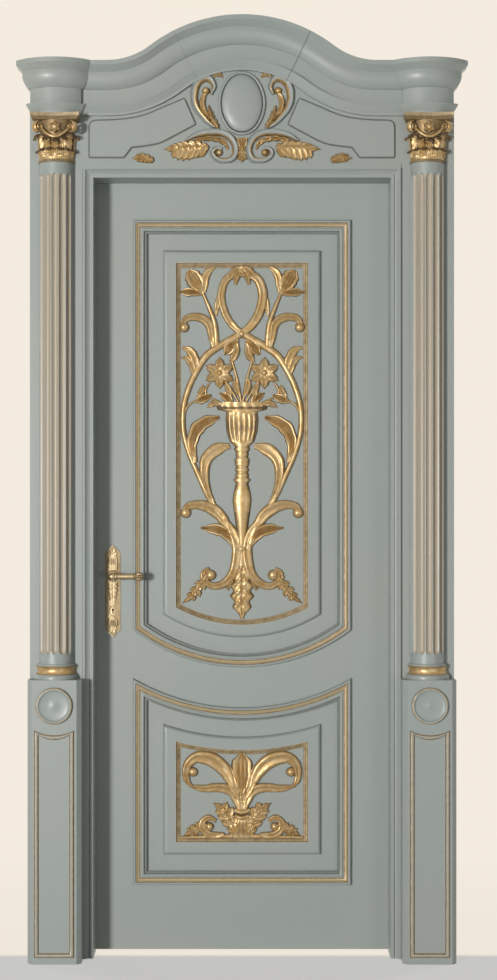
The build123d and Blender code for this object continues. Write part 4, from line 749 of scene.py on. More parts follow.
def ribbed_leaf(t, v):
    """Two swelling halves with a sunk midrib and ribs that slant outward: dome * (1 - midrib - ribs);
    painted shade at the edges and in midrib and ribs.
    """
    midrib = np.exp(-(v / 0.10) ** 2)
    ribs = 0.5 + 0.5 * np.cos(2 * np.pi * (5 * t - 1.4 * np.abs(v)))
    dip = 0.42 * midrib + 0.34 * (1 - ribs) * np.minimum(1, 3 * np.abs(v))
    return (1 - v ** 4) ** 0.6 * (1 - dip), np.clip(0.9 * np.abs(v) ** 6 + 1.1 * dip, 0, 1)


def fanned_petal(t, v):
    """A petal with long ridges that run its whole length: the dome less a cosine of v; painted shade at
    the edges and between the ridges.
    """
    ridges = 0.5 + 0.5 * np.cos(5 * np.pi * v)
    dip = 0.42 * (1 - ridges) * np.minimum(1, 2.5 * t)
    return (1 - v ** 4) ** 0.55 * (1 - dip), np.clip(0.9 * np.abs(v) ** 6 + 1.2 * dip, 0, 1)


def edged_band(t, v):
    """A flat band between two raised edges: a constant plus a bell curve of v round 0.7; painted shade at
    the outer edges and a little on the flat.
    """
    edge = np.exp(-((np.abs(v) - 0.70) / 0.18) ** 2)
    dark = np.clip(0.6 * np.abs(v) ** 8 + 0.18 * (1 - edge), 0, 1)
    return (1 - v ** 8) ** 0.5 * (0.66 + 0.34 * edge) + 0 * t, dark + 0 * t


halfway = np.array(0.5)
for section in (round_stem, scooped, ribbed_leaf, fanned_petal, edged_band):
    print(section.__name__, "has the height", round(float(section(halfway, halfway)[0]), 2), "halfway out")

# %% Strokes
TO_VIEWER = np.array((0.0, -1.0, 0.0))


def stroke(spine, half, rise, section=round_stem, outward=TO_VIEWER, sink=1.5, across_count=13, gilt=1.0):
    """Rings across a spine: spine + across * half * v + outward * rise * height(t, v), with a sunk back."""
    t = np.linspace(0, 1, len(spine))[:, None]
    v = np.sin(np.linspace(-np.pi / 2, np.pi / 2, across_count))[None, :]
    normal = np.broadcast_to(outward, spine.shape)
    across = unit(np.cross(unit(np.gradient(spine, axis=0)), normal))
    high, dark = section(t, v)
    front = spine[:, None] + across[:, None] * (half[:, None] * v)[..., None]
    front = front + normal[:, None] * (rise[:, None] * high)[..., None]
    foot = (spine - normal * sink)[:, None]
    reach = (across * half[:, None])[:, None]
    # Painted shade: the section's on the front, full on the sunk back where the stroke meets the ground.
    shade = np.concatenate([dark, np.ones((len(spine), 2))], axis=1)
    gold = gilt(t, v) if callable(gilt) else np.full(dark.shape, gilt)
    gold = np.concatenate([gold, gold[:, -1:], gold[:, :1]], axis=1)
    return stack(np.concatenate([front, foot + reach, foot - reach], axis=1), gilt=gold, hollow=shade)


def ball(centre, radius, rise, sides=24):
    """A gilded berry on the ground: rings of a half ellipsoid, closed at its tip."""
    angle = np.linspace(0, np.pi / 2 - 0.05, 8)
    profile = [(radius, -1.5)] + list(zip(radius * np.cos(angle), rise * np.sin(angle)))
    # Painted shade that grows towards the berry's foot.
    dark = np.concatenate([[1.0], 0.9 * np.cos(angle) ** 4])
    return spun(profile, centre, sides, hollow=dark, gilt=np.ones(len(profile)))


print("a berry has", len(ball((0, 0, 0), 10.0, 10.0)[0]), "points")

# %% [markdown]
# ## Places on the carving
# The carver drew the design on the board first. The same places are given here as pixels of the photograph,
# for the left half, and short functions turn them into millimetres on each ground.

# %% Places on the carving
GROUND_Y = 84.0
MIDDLE_PX, FRIEZE_MIDDLE_PX = 241.6, 241.2
CARVING_ACROSS, UPPER_UP, LOWER_UP = 175 / 61.5, 978 / 355, 240 / 84.4
FRIEZE_ACROSS, FRIEZE_UP = 427 / 159.3, 249 / 92.9
UPPER_FOOT, LOWER_FOOT, FRIEZE_FOOT = (622, 899), (838, 304), (163.2, 2137)


def on_ground(points, middle_px, across, up, foot, y):
    """X = (column - middle) * across and Z = foot's height + (foot's row - row) * up, in mm per pixel."""
    column, row = columns(points)
    foot_row, foot_z = foot
    x = (column - middle_px) * across
    z = foot_z + (foot_row - row) * up
    return np.stack([x, np.full(len(points), y), z], axis=1)


def on_upper(points):
    """Pixels of the upper carving to places on its ground."""
    return on_ground(points, MIDDLE_PX, CARVING_ACROSS, UPPER_UP, UPPER_FOOT, GROUND_Y)


def on_lower(points):
    """Pixels of the lower carving to places on its ground."""
    return on_ground(points, MIDDLE_PX, CARVING_ACROSS, LOWER_UP, LOWER_FOOT, GROUND_Y)


def on_frieze(points):
    """Pixels of the frieze to places on its board."""
    return on_ground(points, FRIEZE_MIDDLE_PX, FRIEZE_ACROSS, FRIEZE_UP, FRIEZE_FOOT, BOARD_FRONT_Y)


print("mm per pixel of the upper carving:", round(CARVING_ACROSS, 2), "across,", round(UPPER_UP, 2), "up")

# %% [markdown]
# The design uses four kinds of cut: stems, single leaves, sprays of acanthus and berries. Each cut is one
# named row of a table, with the pixels that it passes, its half widths in millimetres and its rise, so the
# tables read like a carver's list and one short function makes all the parts of a table.

# %% Kinds of cut
FULLNESS = 1.22
STEM_STEPS, LEAF_STEPS, LOBE_STEPS = 60, 48, 16


def stem(points, place, halves, rise=10.0, section=round_stem, count=STEM_STEPS, gilt=1.0):
    """A stroke along pixels, its half widths in millimetres at even steps."""
    spine = smooth(place(points), count)
    return stroke(spine, swell(count, *halves), swell(count, 0.85, 1.0, 0.8) * rise, section, gilt=gilt)


def leaf(points, place, halves, rise=11.0, section=ribbed_leaf, scallop=0.2, count=LEAF_STEPS):
    """A stem with a lower tip; scallop times a cosine of five waves cuts its edge into lobes."""
    spine = smooth(place(points), count)
    t = np.linspace(0, 1, count)
    lobes = 1 - scallop * (0.5 - 0.5 * np.cos(10 * np.pi * t)) * np.minimum(1, 4 * t * (1 - t))
    widths = swell(count, *halves) * lobes * FULLNESS
    return stroke(spine, widths, swell(count, 0.7, 1.0, 0.5) * rise, section, across_count=17)


def acanthus(points, place, width, rise=12.0, pairs=5, uneven=0.0):
    """A midrib with pairs of scooped lobes: each starts on it, leans ahead and bends outward; uneven makes
    the lobes of one side longer and of the other shorter."""
    spine = smooth(place(points), LEAF_STEPS)
    along = unit(np.gradient(spine, axis=0))
    aside = np.cross(along, TO_VIEWER)
    flesh = swell(LEAF_STEPS, 0.35, 0.62, 0.5, 0.05) * width
    tip = swell(LOBE_STEPS, 0.3, 0.34, 0.04) * width
    parts = [
        stroke(spine, flesh, swell(LEAF_STEPS, 1.0, 0.8, 0.4) * rise, ribbed_leaf),
        stroke(spine, swell(LEAF_STEPS, 4.5, 3.5, 1.5), swell(LEAF_STEPS, 1.0, 1.0, 0.6) * rise),
        stroke(spine[-LOBE_STEPS:], tip, swell(LOBE_STEPS, 1.0, 0.9, 0.5) * rise, scooped),
    ]
    for k in range(pairs):
        at = 2 + 38 * k // pairs
        reach = width * math.sin(math.pi * (0.28 + 0.55 * k / pairs))
        lobe = swell(LOBE_STEPS, 0.25, 0.52, 0.5, 0.06) * reach
        lobe_rise = swell(LOBE_STEPS, 0.9, 0.9, 0.55) * rise
        for side in (-1, 1):
            ahead, out = along[at] * reach, aside[at] * reach * (side - uneven)
            turn = [spine[at], spine[at] + ahead * 0.4 + out * 0.5, spine[at] + ahead * 0.75 + out]
            parts.append(stroke(smooth(turn, LOBE_STEPS), lobe, lobe_rise, scooped, across_count=11))
    return parts


def berry(middle_px, place, radius, rise):
    """A ball whose middle is one pixel."""
    return ball(place([middle_px])[0], radius, rise)


def cuts(make, place, table):
    """One part for every named row of a table: make(pixels, place, *the rest of the row)."""
    return [make(points, place, *how) for points, *how in table.values()]


def sprays(place, table):
    """All the parts of every acanthus in a table."""
    return [part for spray in cuts(acanthus, place, table) for part in spray]


print("kinds of cut:", [make.__name__ for make in (stem, leaf, acanthus, berry)])

# %% [markdown]
# ## Upper carving
# An urn with flowers stands on a scrolled foot; two stems rise beside it, cross at the top in a loop and
# throw out hooked leaves, tulips and ball-ended scrolls. Every line below is one cut of the carver.

# %% Stems and leaves of the upper carving
UPPER_STEMS = {
    "main stem": ([(242, 334), (232, 340), (221, 346.5), (208, 356), (199.5, 369), (191, 387), (185.5, 407),
                   (185, 430), (190, 452), (199, 474), (209, 496), (219, 513), (229, 526)],
                  (10.5, 10.5, 8.5, 7.5, 7.5, 8.5, 10.5), 10.0, round_stem, 120),
    "leg": ([(224, 519), (233, 533), (237, 550), (234, 570), (226, 582), (215, 586), (206, 581),
             (204.5, 573), (210, 569)], (9, 14.5, 15, 12.5, 10, 7), 12.5, scooped, 90),
    "tulip's stalk": ([(204.5, 296), (209.5, 308), (214.5, 322), (216.5, 334), (217, 348)],
                      (4.5, 6.5, 7.5, 8.5)),
    "upper hook": ([(214.5, 348), (212, 336), (210.5, 327), (205, 320.5), (196, 318), (188, 320),
                    (184.5, 326)], (8, 10, 12.5, 12.5, 11, 7), 12.0, scooped),
    "lower hook": ([(229, 528), (219, 514), (208, 507), (197.5, 505), (189.5, 507), (186, 512)],
                   (9, 15.5, 17.5, 15, 12, 9), 13.0, scooped),
}
UPPER_LEAVES = {
    "tulip's back petal": ([(204.5, 295.5), (198.5, 285), (190.5, 272)],
                           (4, 13, 21, 20, 8), 12.0, fanned_petal, 0.1),
    "tulip's outer petal": ([(204, 295), (193, 293.5), (182, 293.5)],
                            (4, 9, 11, 3), 11.0, fanned_petal, 0.1),
    "tulip's inner petal": ([(205.5, 294), (206, 281), (209, 273.5), (215, 268.8)],
                            (4, 9, 9.5, 4), 9.0, scooped, 0.0),
    "slip by the loop": ([(216.5, 317), (218, 305), (221.5, 290)], (3, 7, 2), 7.0, scooped, 0.0),
    "upper edge leaf": ([(199, 373), (196, 360), (191, 351.5), (184, 348.5)],
                        (6, 11, 11, 4), 11.0, scooped, 0.1),
    "lower edge leaf": ([(197, 378), (193, 366), (188.5, 359.5), (183.5, 358.5)],
                        (5, 8.5, 8, 3), 10.0, scooped, 0.1),
    "broad inner leaf": ([(196.5, 463), (193.5, 446), (197, 432), (204.5, 424), (213, 420), (219.5, 418)],
                         (6, 9.5, 14, 17, 14, 5), 13.0, fanned_petal, 0.1),
    "long inner leaf": ([(217, 511), (209, 492), (205.5, 476), (206.5, 462), (213, 453), (221, 448.5),
                         (229.5, 446.5)], (4, 6, 8, 11, 14, 15, 7), 13.0, scooped, 0.0, 64),
    "leaf over the leg": ([(236, 549), (230, 537), (219, 530), (202, 528)],
                          (7, 14, 14, 3), 12.0, fanned_petal, 0.12),
}
UPPER_SPRAYS = {"spray at the leg": ([(207, 575), (201, 586), (193, 596), (184, 603)], 17.0, 12.0, 4)}
UPPER_BERRIES = {
    "in the upper hook": ((186, 328.5), 14.0, 13.0),
    "in the lower hook": ((187.5, 513), 15.0, 13.0),
    "in the leg's scroll": ((211.5, 575), 15.0, 13.8),
}
half_upper = cuts(stem, on_upper, UPPER_STEMS) + cuts(leaf, on_upper, UPPER_LEAVES)
half_upper += sprays(on_upper, UPPER_SPRAYS) + cuts(berry, on_upper, UPPER_BERRIES)
print("parts per half so far", len(half_upper))

# %% Flowers and buds
LILY_PX, LILY_R = (220, 374), 44.0
LILY_HALVES = (0.12 * LILY_R, 0.33 * LILY_R, 0.26 * LILY_R, 0.6)
FLOWER_LEAVES = {
    "bud at the crossing": ([(238, 341), (231, 347), (225, 356)], (4, 12, 14, 4), 12.0, fanned_petal, 0.1),
    "slip below the crossing": ([(237, 344), (235.5, 354), (230, 364)], (4, 8, 9, 3), 12.0, scooped, 0.0),
    "outer leaf": ([(196, 403), (203, 400), (212, 396)], (3, 11, 11, 3), 11.0, fanned_petal, 0.15),
    "outer slip": ([(199, 397), (203, 392), (204, 386)], (3, 7, 7, 2), 10.0, scooped, 0.0),
    "inner leaf": ([(232, 406), (228, 399), (220, 394)], (3, 10, 10, 2), 11.0, fanned_petal, 0.15),
    "inner slip": ([(229, 400), (229, 391), (225, 384)], (3, 8, 8, 2), 11.0, scooped, 0.0),
    "middle slip": ([(240, 398), (236, 388), (236, 378)], (3, 7, 8, 2), 11.0, scooped, 0.0),
    "slip on the rim": ([(222, 405), (215, 404), (208, 408)], (3, 8, 7, 2), 10.0, scooped, 0.0),
}
FLOWER_STALKS = {
    "tendril": ([(186, 414), (190, 406), (197, 401.5)], (3, 3.5, 3), 7.0),
    "outer slip's stalk": ([(207, 398), (206.5, 391), (210, 384)], (3, 3.5, 3), 7.0),
    "lily's stalk": ([(240, 407), (233, 394), (225, 381)], (3.5, 4.0, 3.5), 7.0),
    "bud's stalk": ([(241, 405), (238, 385), (232, 362)], (3.5, 4.0, 3.5), 7.0),
    "outer leaf's stalk": ([(236, 407), (226, 406), (212, 399)], (3.5, 4.0, 3.0), 7.0),
}


def petals(middle, radius, start, turn, halves, rises, section=scooped, sink=1.5, steps=24):
    """Six strokes round a middle, each straight outward from a share start of the radius to its end."""
    shares = np.linspace(start, 1.0, steps)[:, None]
    angles = np.radians(turn + np.arange(6) * 60.0)
    spokes = np.stack([np.cos(angles), np.zeros(6), np.sin(angles)], axis=1)
    widths, heights = swell(steps, *halves), swell(steps, *rises)
    return [stroke(middle + shares * away * radius, widths, heights, section, sink=sink) for away in spokes]


lily_middle = on_upper([LILY_PX])[0]
half_upper += petals(lily_middle, LILY_R, 0.12, 30.0, LILY_HALVES, (6.0, 13.0, 6.0))
half_upper += [ball(lily_middle, 0.2 * LILY_R, 12.0)]
half_upper += cuts(leaf, on_upper, FLOWER_LEAVES) + cuts(stem, on_upper, FLOWER_STALKS)
print("parts per half", len(half_upper))

# %% [markdown]
# The urn is turned, not cut, so it is a stack of half ellipses up its axis, with ribs pressed into the body
# and the rim. Above it the loop is made twice, because one strand passes over the other, and a clasp of
# small leaves hides where they meet.

# %% Urn
URN_PX = np.array([
    (23, 403), (25, 406), (24, 410.5), (15, 412.5), (16, 419), (15, 432), (12, 442), (6.5, 447.5),
    (8, 450), (5.6, 453), (5.6, 459), (7.2, 462), (5.6, 465), (5.6, 477), (7.6, 480), (6, 484),
    (8.2, 493), (9.2, 501), (7.4, 515), (5, 532), (3.8, 545), (6, 549), (4, 553), (5, 566),
])
URN_BANDS = {"rim": (406.5, 4.0), "body": (428.0, 14.0), "beads": (468.0, 16.0)}
LIP_ROW, LIP_ROWS = 409.0, 1.6
BEAD_ROW, BEAD_WAVES, BEAD_RISE = 452.0, 1.2, 4.0
URN_RIBS, URN_LEVELS, URN_SIDES = 18, 160, 57


def urn_band(level, name):
    """1 over a band of pixel rows and 0 beyond it, with soft ends: (1 - |row - middle| / half) ^ 0.3."""
    middle, half = URN_BANDS[name]
    return np.clip(1 - np.abs(level - middle) / half, 0, 1) ** 0.3


def urn():
    """Rings up the axis: half ellipse of width w(z) and depth d(z), ribbed on body and rim, flat behind."""
    level = np.linspace(URN_PX[0, 1], URN_PX[-1, 1], URN_LEVELS)
    angle = np.linspace(0, np.pi, URN_SIDES)[None, :]
    beads = urn_band(level, "beads") * (0.5 - 0.5 * np.cos(BEAD_WAVES * (level - BEAD_ROW)))
    half = np.interp(level, URN_PX[:, 1], URN_PX[:, 0]) * CARVING_ACROSS + BEAD_RISE * beads
    z = on_upper(np.stack([level, level], 1))[:, 2]
    body, rim = (urn_band(level, name)[:, None] for name in ("body", "rim"))
    groove = 0.5 - 0.5 * np.cos(URN_RIBS * angle)
    depth = np.minimum(13.5, 5.0 + half * 0.45)[:, None] * (1 - 0.30 * body * groove - 0.14 * rim * groove)
    front = np.stack([half[:, None] * np.cos(angle), GROUND_Y - depth * np.sin(angle),
                      np.broadcast_to(z[:, None], depth.shape)], axis=-1)
    back_y = np.full(URN_LEVELS, GROUND_Y + 1.5)
    back = np.stack([np.stack([side * half, back_y, z], -1) for side in (-1, 1)], 1)
    # Painted shade in the rib grooves, at the urn's sides on the ground, under the lip and between the
    # beads.
    under_lip = np.exp(-((level - LIP_ROW) / LIP_ROWS) ** 2)[:, None]
    between_beads = ((1 - beads) * (half < 22))[:, None]
    dark = groove * (0.8 * body + 0.35 * rim) + np.abs(np.cos(angle)) ** 6
    dark = np.clip(dark + 0.8 * under_lip + 0.4 * between_beads, 0, 1)
    shade = np.concatenate([dark, np.ones((URN_LEVELS, 2))], axis=1)
    return stack(np.concatenate([front, back], axis=1), gilt=1.0, hollow=shade)


urn_part = urn()
print("urn", len(urn_part[0]), "points")

# %% Loop, clasp and ground
FILLET = [(RECESS_INSET, 89.0), (RECESS_INSET, 80.2), (129.0, 83.4), (129.6, GROUND_Y), (131.0, GROUND_Y)]
FILLET_GILT = np.array((DRAWN, DRAWN, DRAWN, DRAWN, 0.0))[:, None]
FILLET_SHADE = np.array((1.0, 0.75, 0.5, 0.9, 0.2))[:, None]
STRAND_PX = [(242, 335), (233, 327), (225.5, 315), (221.5, 298), (225, 283), (233, 276), (242, 274)]
CLASP_LEAVES = {
    "outer clasp leaf": ([(MIDDLE_PX, 268.8), (234, 273), (228, 282)], (5, 10, 9, 3), 13.5, scooped),
    "inner clasp leaf": ([(MIDDLE_PX, 272), (237, 277), (235, 286)], (5, 8, 4), 13.5, scooped),
    "leaf beside the drop": ([(238, 568), (231, 579), (227.5, 590)], (6, 10, 9, 3), 12.0),
}
DROP = {
    "drop below the urn": ([(MIDDLE_PX, 563), (MIDDLE_PX, 592), (MIDDLE_PX, 618.5)],
                           (9, 22, 29, 23, 4), 13.5, ribbed_leaf, 0.3, 70),
}
MIDDLE_BERRIES = {
    "on the crossing": ((MIDDLE_PX, 335), 11.0, 12.5),
    "in the clasp": ((MIDDLE_PX, 274), 8.0, 13.8),
}


def ground_board(loop):
    """The board behind the carving: rings of the panel outline that step in past a drawn fillet."""
    return stack(carried(loop, FILLET).transpose(1, 0, 2), gilt=FILLET_GILT, hollow=FILLET_SHADE)


under_strand = stem(STRAND_PX, on_upper, (9.5, 10.5, 11, 11, 11), 10.5, scooped, 70)
over_strand = mirrored(stem(STRAND_PX, on_upper, (11, 13, 13.5, 13, 12), 12.0, scooped, 70))
upper_parts = [ground_board(upper_loop), under_strand, over_strand, urn_part]
upper_parts += cuts(berry, on_upper, MIDDLE_BERRIES) + cuts(leaf, on_upper, DROP)
upper_parts += both(cuts(leaf, on_upper, CLASP_LEAVES) + half_upper)
piece("upper_relief", upper_parts, "leaf", lacquer, "gilded_wood", "upper_carving")

# %% [markdown]
# ## Lower carving
# A fat upright leaf between hooked scrolls that close round balls, tied by a knot above a spreading foot.
# It is cut like the upper one, with the same four kinds of cut on the lower panel's ground.

# %% Lower carving
LOWER_STEMS = {
    "hooked scroll": ([(233, 787), (226, 773), (218, 764.5), (209, 760), (198, 759), (190, 765),
                       (187.5, 774), (189, 782), (194, 787.5)],
                      (8, 16, 20, 21, 19, 15, 12, 9, 4), 13.5, scooped, 100),
    "arm": ([(239, 808), (234, 795), (227, 789.5), (217, 788), (205, 789), (191, 786.5)],
            (8, 13, 14, 12.5, 10, 4), 13.0, scooped),
    "foot scroll": ([(224, 833.5), (213, 834), (204.5, 829), (203.5, 821.5), (209.5, 817), (216, 820)],
                    (7, 11, 11, 10, 9, 6), 12.5, scooped),
    "foot bar": ([(182.5, 836), (200, 835.5), (232, 835)], (4, 6, 7), 9.0),
}
LOWER_SPRAYS = {
    "spray over the foot": ([(236, 831), (230, 819), (223, 809), (214, 803)], 25.0, 12.5, 4),
    "spray in the corner": ([(208, 824), (199, 827), (186, 834)], 16.0, 12.0, 4),
}
LOWER_LEAVES = {
    "leaf by the middle": ([(245.5, 806), (234, 787), (229.5, 767)], (6, 13, 14, 4), 13.5, scooped, 0.1),
}
LOWER_BERRIES = {
    "in the hook": ((194.5, 773), 13.5, 13.8),
    "in the foot scroll": ((210.3, 825.5), 12.0, 13.8),
}
UPRIGHT_LEAVES = {
    "upright leaf": ([(MIDDLE_PX, 809), (MIDDLE_PX, 785), (MIDDLE_PX, 754.5)],
                     (13, 17, 20, 23, 25, 24, 6), 13.8, fanned_petal, 0.06),
    "spreading foot": ([(MIDDLE_PX, 817), (MIDDLE_PX, 826), (MIDDLE_PX, 836)],
                       (15, 24, 32), 12.0, fanned_petal, 0.0),
}
KNOT = {
    "upper band": ([(234, 809.5), (MIDDLE_PX, 811.5), (249.2, 809.5)], (7.0, 8.5, 7.0), 13.8),
    "lower band": ([(235, 815), (MIDDLE_PX, 817), (248.2, 815)], (6.0, 7.0, 6.0), 13.5),
}
half_lower = cuts(stem, on_lower, LOWER_STEMS) + cuts(leaf, on_lower, LOWER_LEAVES)
half_lower += sprays(on_lower, LOWER_SPRAYS) + cuts(berry, on_lower, LOWER_BERRIES)
lower_parts = [ground_board(lower_loop), *both(half_lower)]
lower_parts += cuts(leaf, on_lower, UPRIGHT_LEAVES) + cuts(stem, on_lower, KNOT)
piece("lower_relief", lower_parts, "leaf", lacquer, "gilded_wood", "lower_carving")

# %% [markdown]
# ## Fields and scrollwork on the frieze
# A raised field lies on each side of the frieze, with a quirk cut round it that is painted dark as shade.
# Beside the boss are C-scrolls with lacquered backs and gilded leaves; under it, two volutes like rolled
# bands with a gilded eye and broad acanthus that runs outward.

# %% Raised fields
FIELD_PX = (
    [(88.5, 156.6), (88.5, 141)],
    [(88.5, 126), (90.2, 121.9), (94, 120.4)],
    [(94, 120.4), (121, 119.2), (143.5, 115), (162.6, 107), (183.4, 98.3)],
    [(183.4, 98.3), (194.5, 123.6)],
    [(194.5, 123.6), (175, 134), (159, 142), (143.5, 145), (130.7, 146.5)],
    [(130.7, 146.5), (123, 156.6)],
    [(123, 156.6), (88.5, 156.6)],
)
field_loop = np.concatenate([smooth(on_frieze(span), 13)[:-1] for span in FIELD_PX])[:, (0, 2)]


def field_outline(inset):
    """The field's outline moved along its own normals, which are the turned differences of its points."""
    along = unit(np.roll(field_loop, -1, axis=0) - np.roll(field_loop, 1, axis=0))
    return field_loop + np.stack([along[:, 1], -along[:, 0]], axis=1) * inset


field_profile = [(-4.0, -17.5), (-4.0, -18.25), (-0.2, -18.3), (0.0, -21.6), (1.4, -23.0)]
quirk_shade = np.array((0.0, 0.9, 1.0, 0.35, 0.0))[:, None]
left_field = stack(carried(field_outline, field_profile).transpose(1, 0, 2), hollow=quirk_shade)
piece("quirked_fields", both([left_field]), "frame", lacquer, "lacquered_wood", "frieze_fields")

# %% Scrollwork
def inner_gold(t, v):
    """Gold leaf where v, across a band, is below -0.05; lacquer on the rest."""
    return np.where(v < -0.05, 1.0, 0.0) + 0 * t


def outer_gold(t, v):
    """Gold leaf along the other edge of a band, where v is above 0.3."""
    return np.where(v > 0.3, 1.0, 0.0) + 0 * t


FRIEZE_BANDS = {
    "scroll beside the boss": ([(210, 94), (213, 86), (208, 78.5), (199, 80), (194, 87.5), (192.8, 98),
                                (195, 107), (200.5, 115), (208.6, 123.5), (218, 129)],
                               (4, 6.5, 9.5, 11, 11, 10, 9, 8, 6, 2), 13.0, edged_band, 100, inner_gold),
    "volute": ([(185, 140.5), (195, 134.8), (207, 132), (219, 132.3), (228, 136.3), (233.5, 144),
                (234.5, 152.5), (230.5, 159), (221.5, 160.5), (214, 157.3), (211.5, 152), (215.5, 148),
                (221, 149)],
               (3, 7, 9, 9.5, 9.5, 9.5, 9, 8.5, 8, 7, 6, 5), 13.0, edged_band, 130, outer_gold),
}
FRIEZE_LEAVES = {
    "leaf in the scroll": ([(205, 92), (201.5, 100), (202.5, 109), (208, 117)],
                           (4, 7, 7, 2), 12.5, scooped, 0.15),
    "leaf on the volute": ([(190, 142), (202, 138.5), (214, 138.5), (223, 142), (227, 149)],
                           (2, 6, 7, 7, 3), 12.0, ribbed_leaf, 0.3),
    "slip over the scroll": ([(212, 77), (217, 73.5), (222, 77)], (2, 6, 2), 10.0, scooped, 0.0),
}
FRIEZE_SPRAYS = {
    "spray up the scroll": ([(217, 127.5), (210.5, 117), (207.5, 105)], 10.0, 12.5, 4),
    "broad spray": ([(207, 148), (195, 146.5), (180, 147.5), (163, 149)], 25.0, 12.5, 6, 0.45),
    "small spray": ([(152, 160.5), (142, 157.5), (131, 158)], 13.0, 11.0, 4),
}
FRIEZE_BERRIES = {"in the scroll": ((205, 90.5), 10.5, 13.8), "in the volute": ((218.5, 152.5), 9.0, 13.8)}
FRIEZE_FAN = {
    "fan under the boss": ([(FRIEZE_MIDDLE_PX, 150), (FRIEZE_MIDDLE_PX, 144), (FRIEZE_MIDDLE_PX, 137.5)],
                           (5, 12, 14), 11.0, fanned_petal, 0.0),
}
FRIEZE_DROP = {
    "drop under the fan": ([(FRIEZE_MIDDLE_PX, 147), (FRIEZE_MIDDLE_PX, 154), (FRIEZE_MIDDLE_PX, 162)],
                           14.0, 12.0, 3),
}
half_scroll = cuts(stem, on_frieze, FRIEZE_BANDS) + cuts(leaf, on_frieze, FRIEZE_LEAVES)
half_scroll += sprays(on_frieze, FRIEZE_SPRAYS) + cuts(berry, on_frieze, FRIEZE_BERRIES)
scroll_parts = both(half_scroll) + cuts(leaf, on_frieze, FRIEZE_FAN) + sprays(on_frieze, FRIEZE_DROP)
piece("frieze_carving", scroll_parts, "frame", lacquer, "gilded_wood", "frieze_scrollwork")

# %% [markdown]
# ## Capitals
# A bell with acanthus, scrolls at the corners, a flower under a hollow-sided abacus and a garland that
# swings from scroll to scroll. The leaves are the same carver's stroke, but their spine climbs the bell and
# rolls outward at the tip along a part of a circle.

# %% Leaves and scrolls of the capitals
AXIS = np.array((COLUMN_X, BOARD_FRONT_Y, 0.0))
UP = np.array((0.0, 0.0, 1.0))
LEAF_FOOT_Z, BELL_LEVELS, BELL_RADII = 2142.0, (2143.0, 2245.0), (42.0, 47.0)
CLIMB_STEPS, CURL_STEPS, CURL_TURN = 26, 16, 160.0
SCROLL_OUT, SCROLL_FRONT, SCROLL_Z = 46.0, -44.0, 2226.0
SCROLL_R, SCROLL_TURNS, SCROLL_STEPS = 16.0, 1.7, 80


def climbing_leaf(angle, top, half, curl):
    """Spine: straight up the bell, then an arc of radius curl; the face turns with the arc."""
    steps = CLIMB_STEPS + CURL_STEPS
    t = np.linspace(0, 1, steps)
    away = np.array((math.sin(angle), -math.cos(angle), 0.0))
    bend = np.concatenate([np.zeros(CLIMB_STEPS), np.radians(np.linspace(0, CURL_TURN, CURL_STEPS))])
    climb = np.linspace(LEAF_FOOT_Z, top - curl, CLIMB_STEPS)
    rise = np.concatenate([climb, np.full(CURL_STEPS, top - curl)]) + curl * np.sin(bend)
    out = np.interp(rise, BELL_LEVELS, BELL_RADII) + curl * (1 - np.cos(bend))
    spine = AXIS + away * out[:, None] + UP * rise[:, None]
    outward = away * np.cos(bend)[:, None] - UP * np.sin(bend)[:, None]
    lobes = 1 - 0.28 * (0.5 - 0.5 * np.cos(8 * np.pi * t)) * np.minimum(1, 5 * (1 - t))
    halves = swell(steps, 0.7, 1.0, 0.95, 0.45) * half * lobes
    return stroke(spine, halves, swell(steps, 3.5, 5.5, 3.0), fanned_petal, outward, 3.5, 15)


def corner_scroll(side):
    """A spiral band on the corner: its radius shrinks with the turn, in the diagonal's upright plane."""
    turn = np.linspace(0.0, SCROLL_TURNS * 2 * np.pi, SCROLL_STEPS)[:, None]
    radius = SCROLL_R * (1 - turn / (4.1 * np.pi))
    away = unit(np.array((side, -1.0, 0.0)))
    cheek = np.array((-away[1], away[0], 0.0))
    centre = AXIS + np.array((side * SCROLL_OUT, SCROLL_FRONT, SCROLL_Z))
    spine = centre + away * radius * np.sin(turn) * 0.9 + UP * radius * np.cos(turn)
    normal = unit(np.cross(unit(np.gradient(spine, axis=0)), cheek))[:, None]
    ring = np.linspace(0, 2 * np.pi, 12, endpoint=False)[None, :, None]
    thick = np.linspace(3.4, 2.4, SCROLL_STEPS)[:, None, None]
    wide = np.linspace(8.0, 10.0, SCROLL_STEPS)[:, None, None]
    rings = spine[:, None] + cheek * wide * np.cos(ring) + normal * thick * np.sin(ring)
    # Painted shade that deepens along the band towards the scroll's eye.
    return stack(rings, gilt=1.0, hollow=np.linspace(0.1, 0.55, SCROLL_STEPS)[:, None])


scrolls = [corner_scroll(1), corner_scroll(-1)]
print("corner scroll", len(scrolls[0][0]), "points")

# %% Abacus, bell and flower of the capitals
ABACUS_STEPS = ((-3.0, 2245.0), (0.0, 2246.5), (1.0, 2250.0), (2.0, 2253.0), (5.0, 2255.0), (5.0, 2264.0))
ABACUS_SHADE = np.array((1.0, 0.95, 0.85, 0.95, 0.6, 0.5))[:, None]
ABACUS_HALF_W, ABACUS_DEPTH, ABACUS_HOLLOW = 60.0, 55.0, 9.0
BELL_RING_Z = 2141.5
GARLAND = ((-40, -40, 2228), (-27, -47, 2213), (-13, -50, 2203), (0, -51, 2199.5), (13, -50, 2203),
           (27, -47, 2213), (40, -40, 2228))
BLOOM, BLOOM_R = np.array((0.0, -49.0, 2226.0)), 16.0


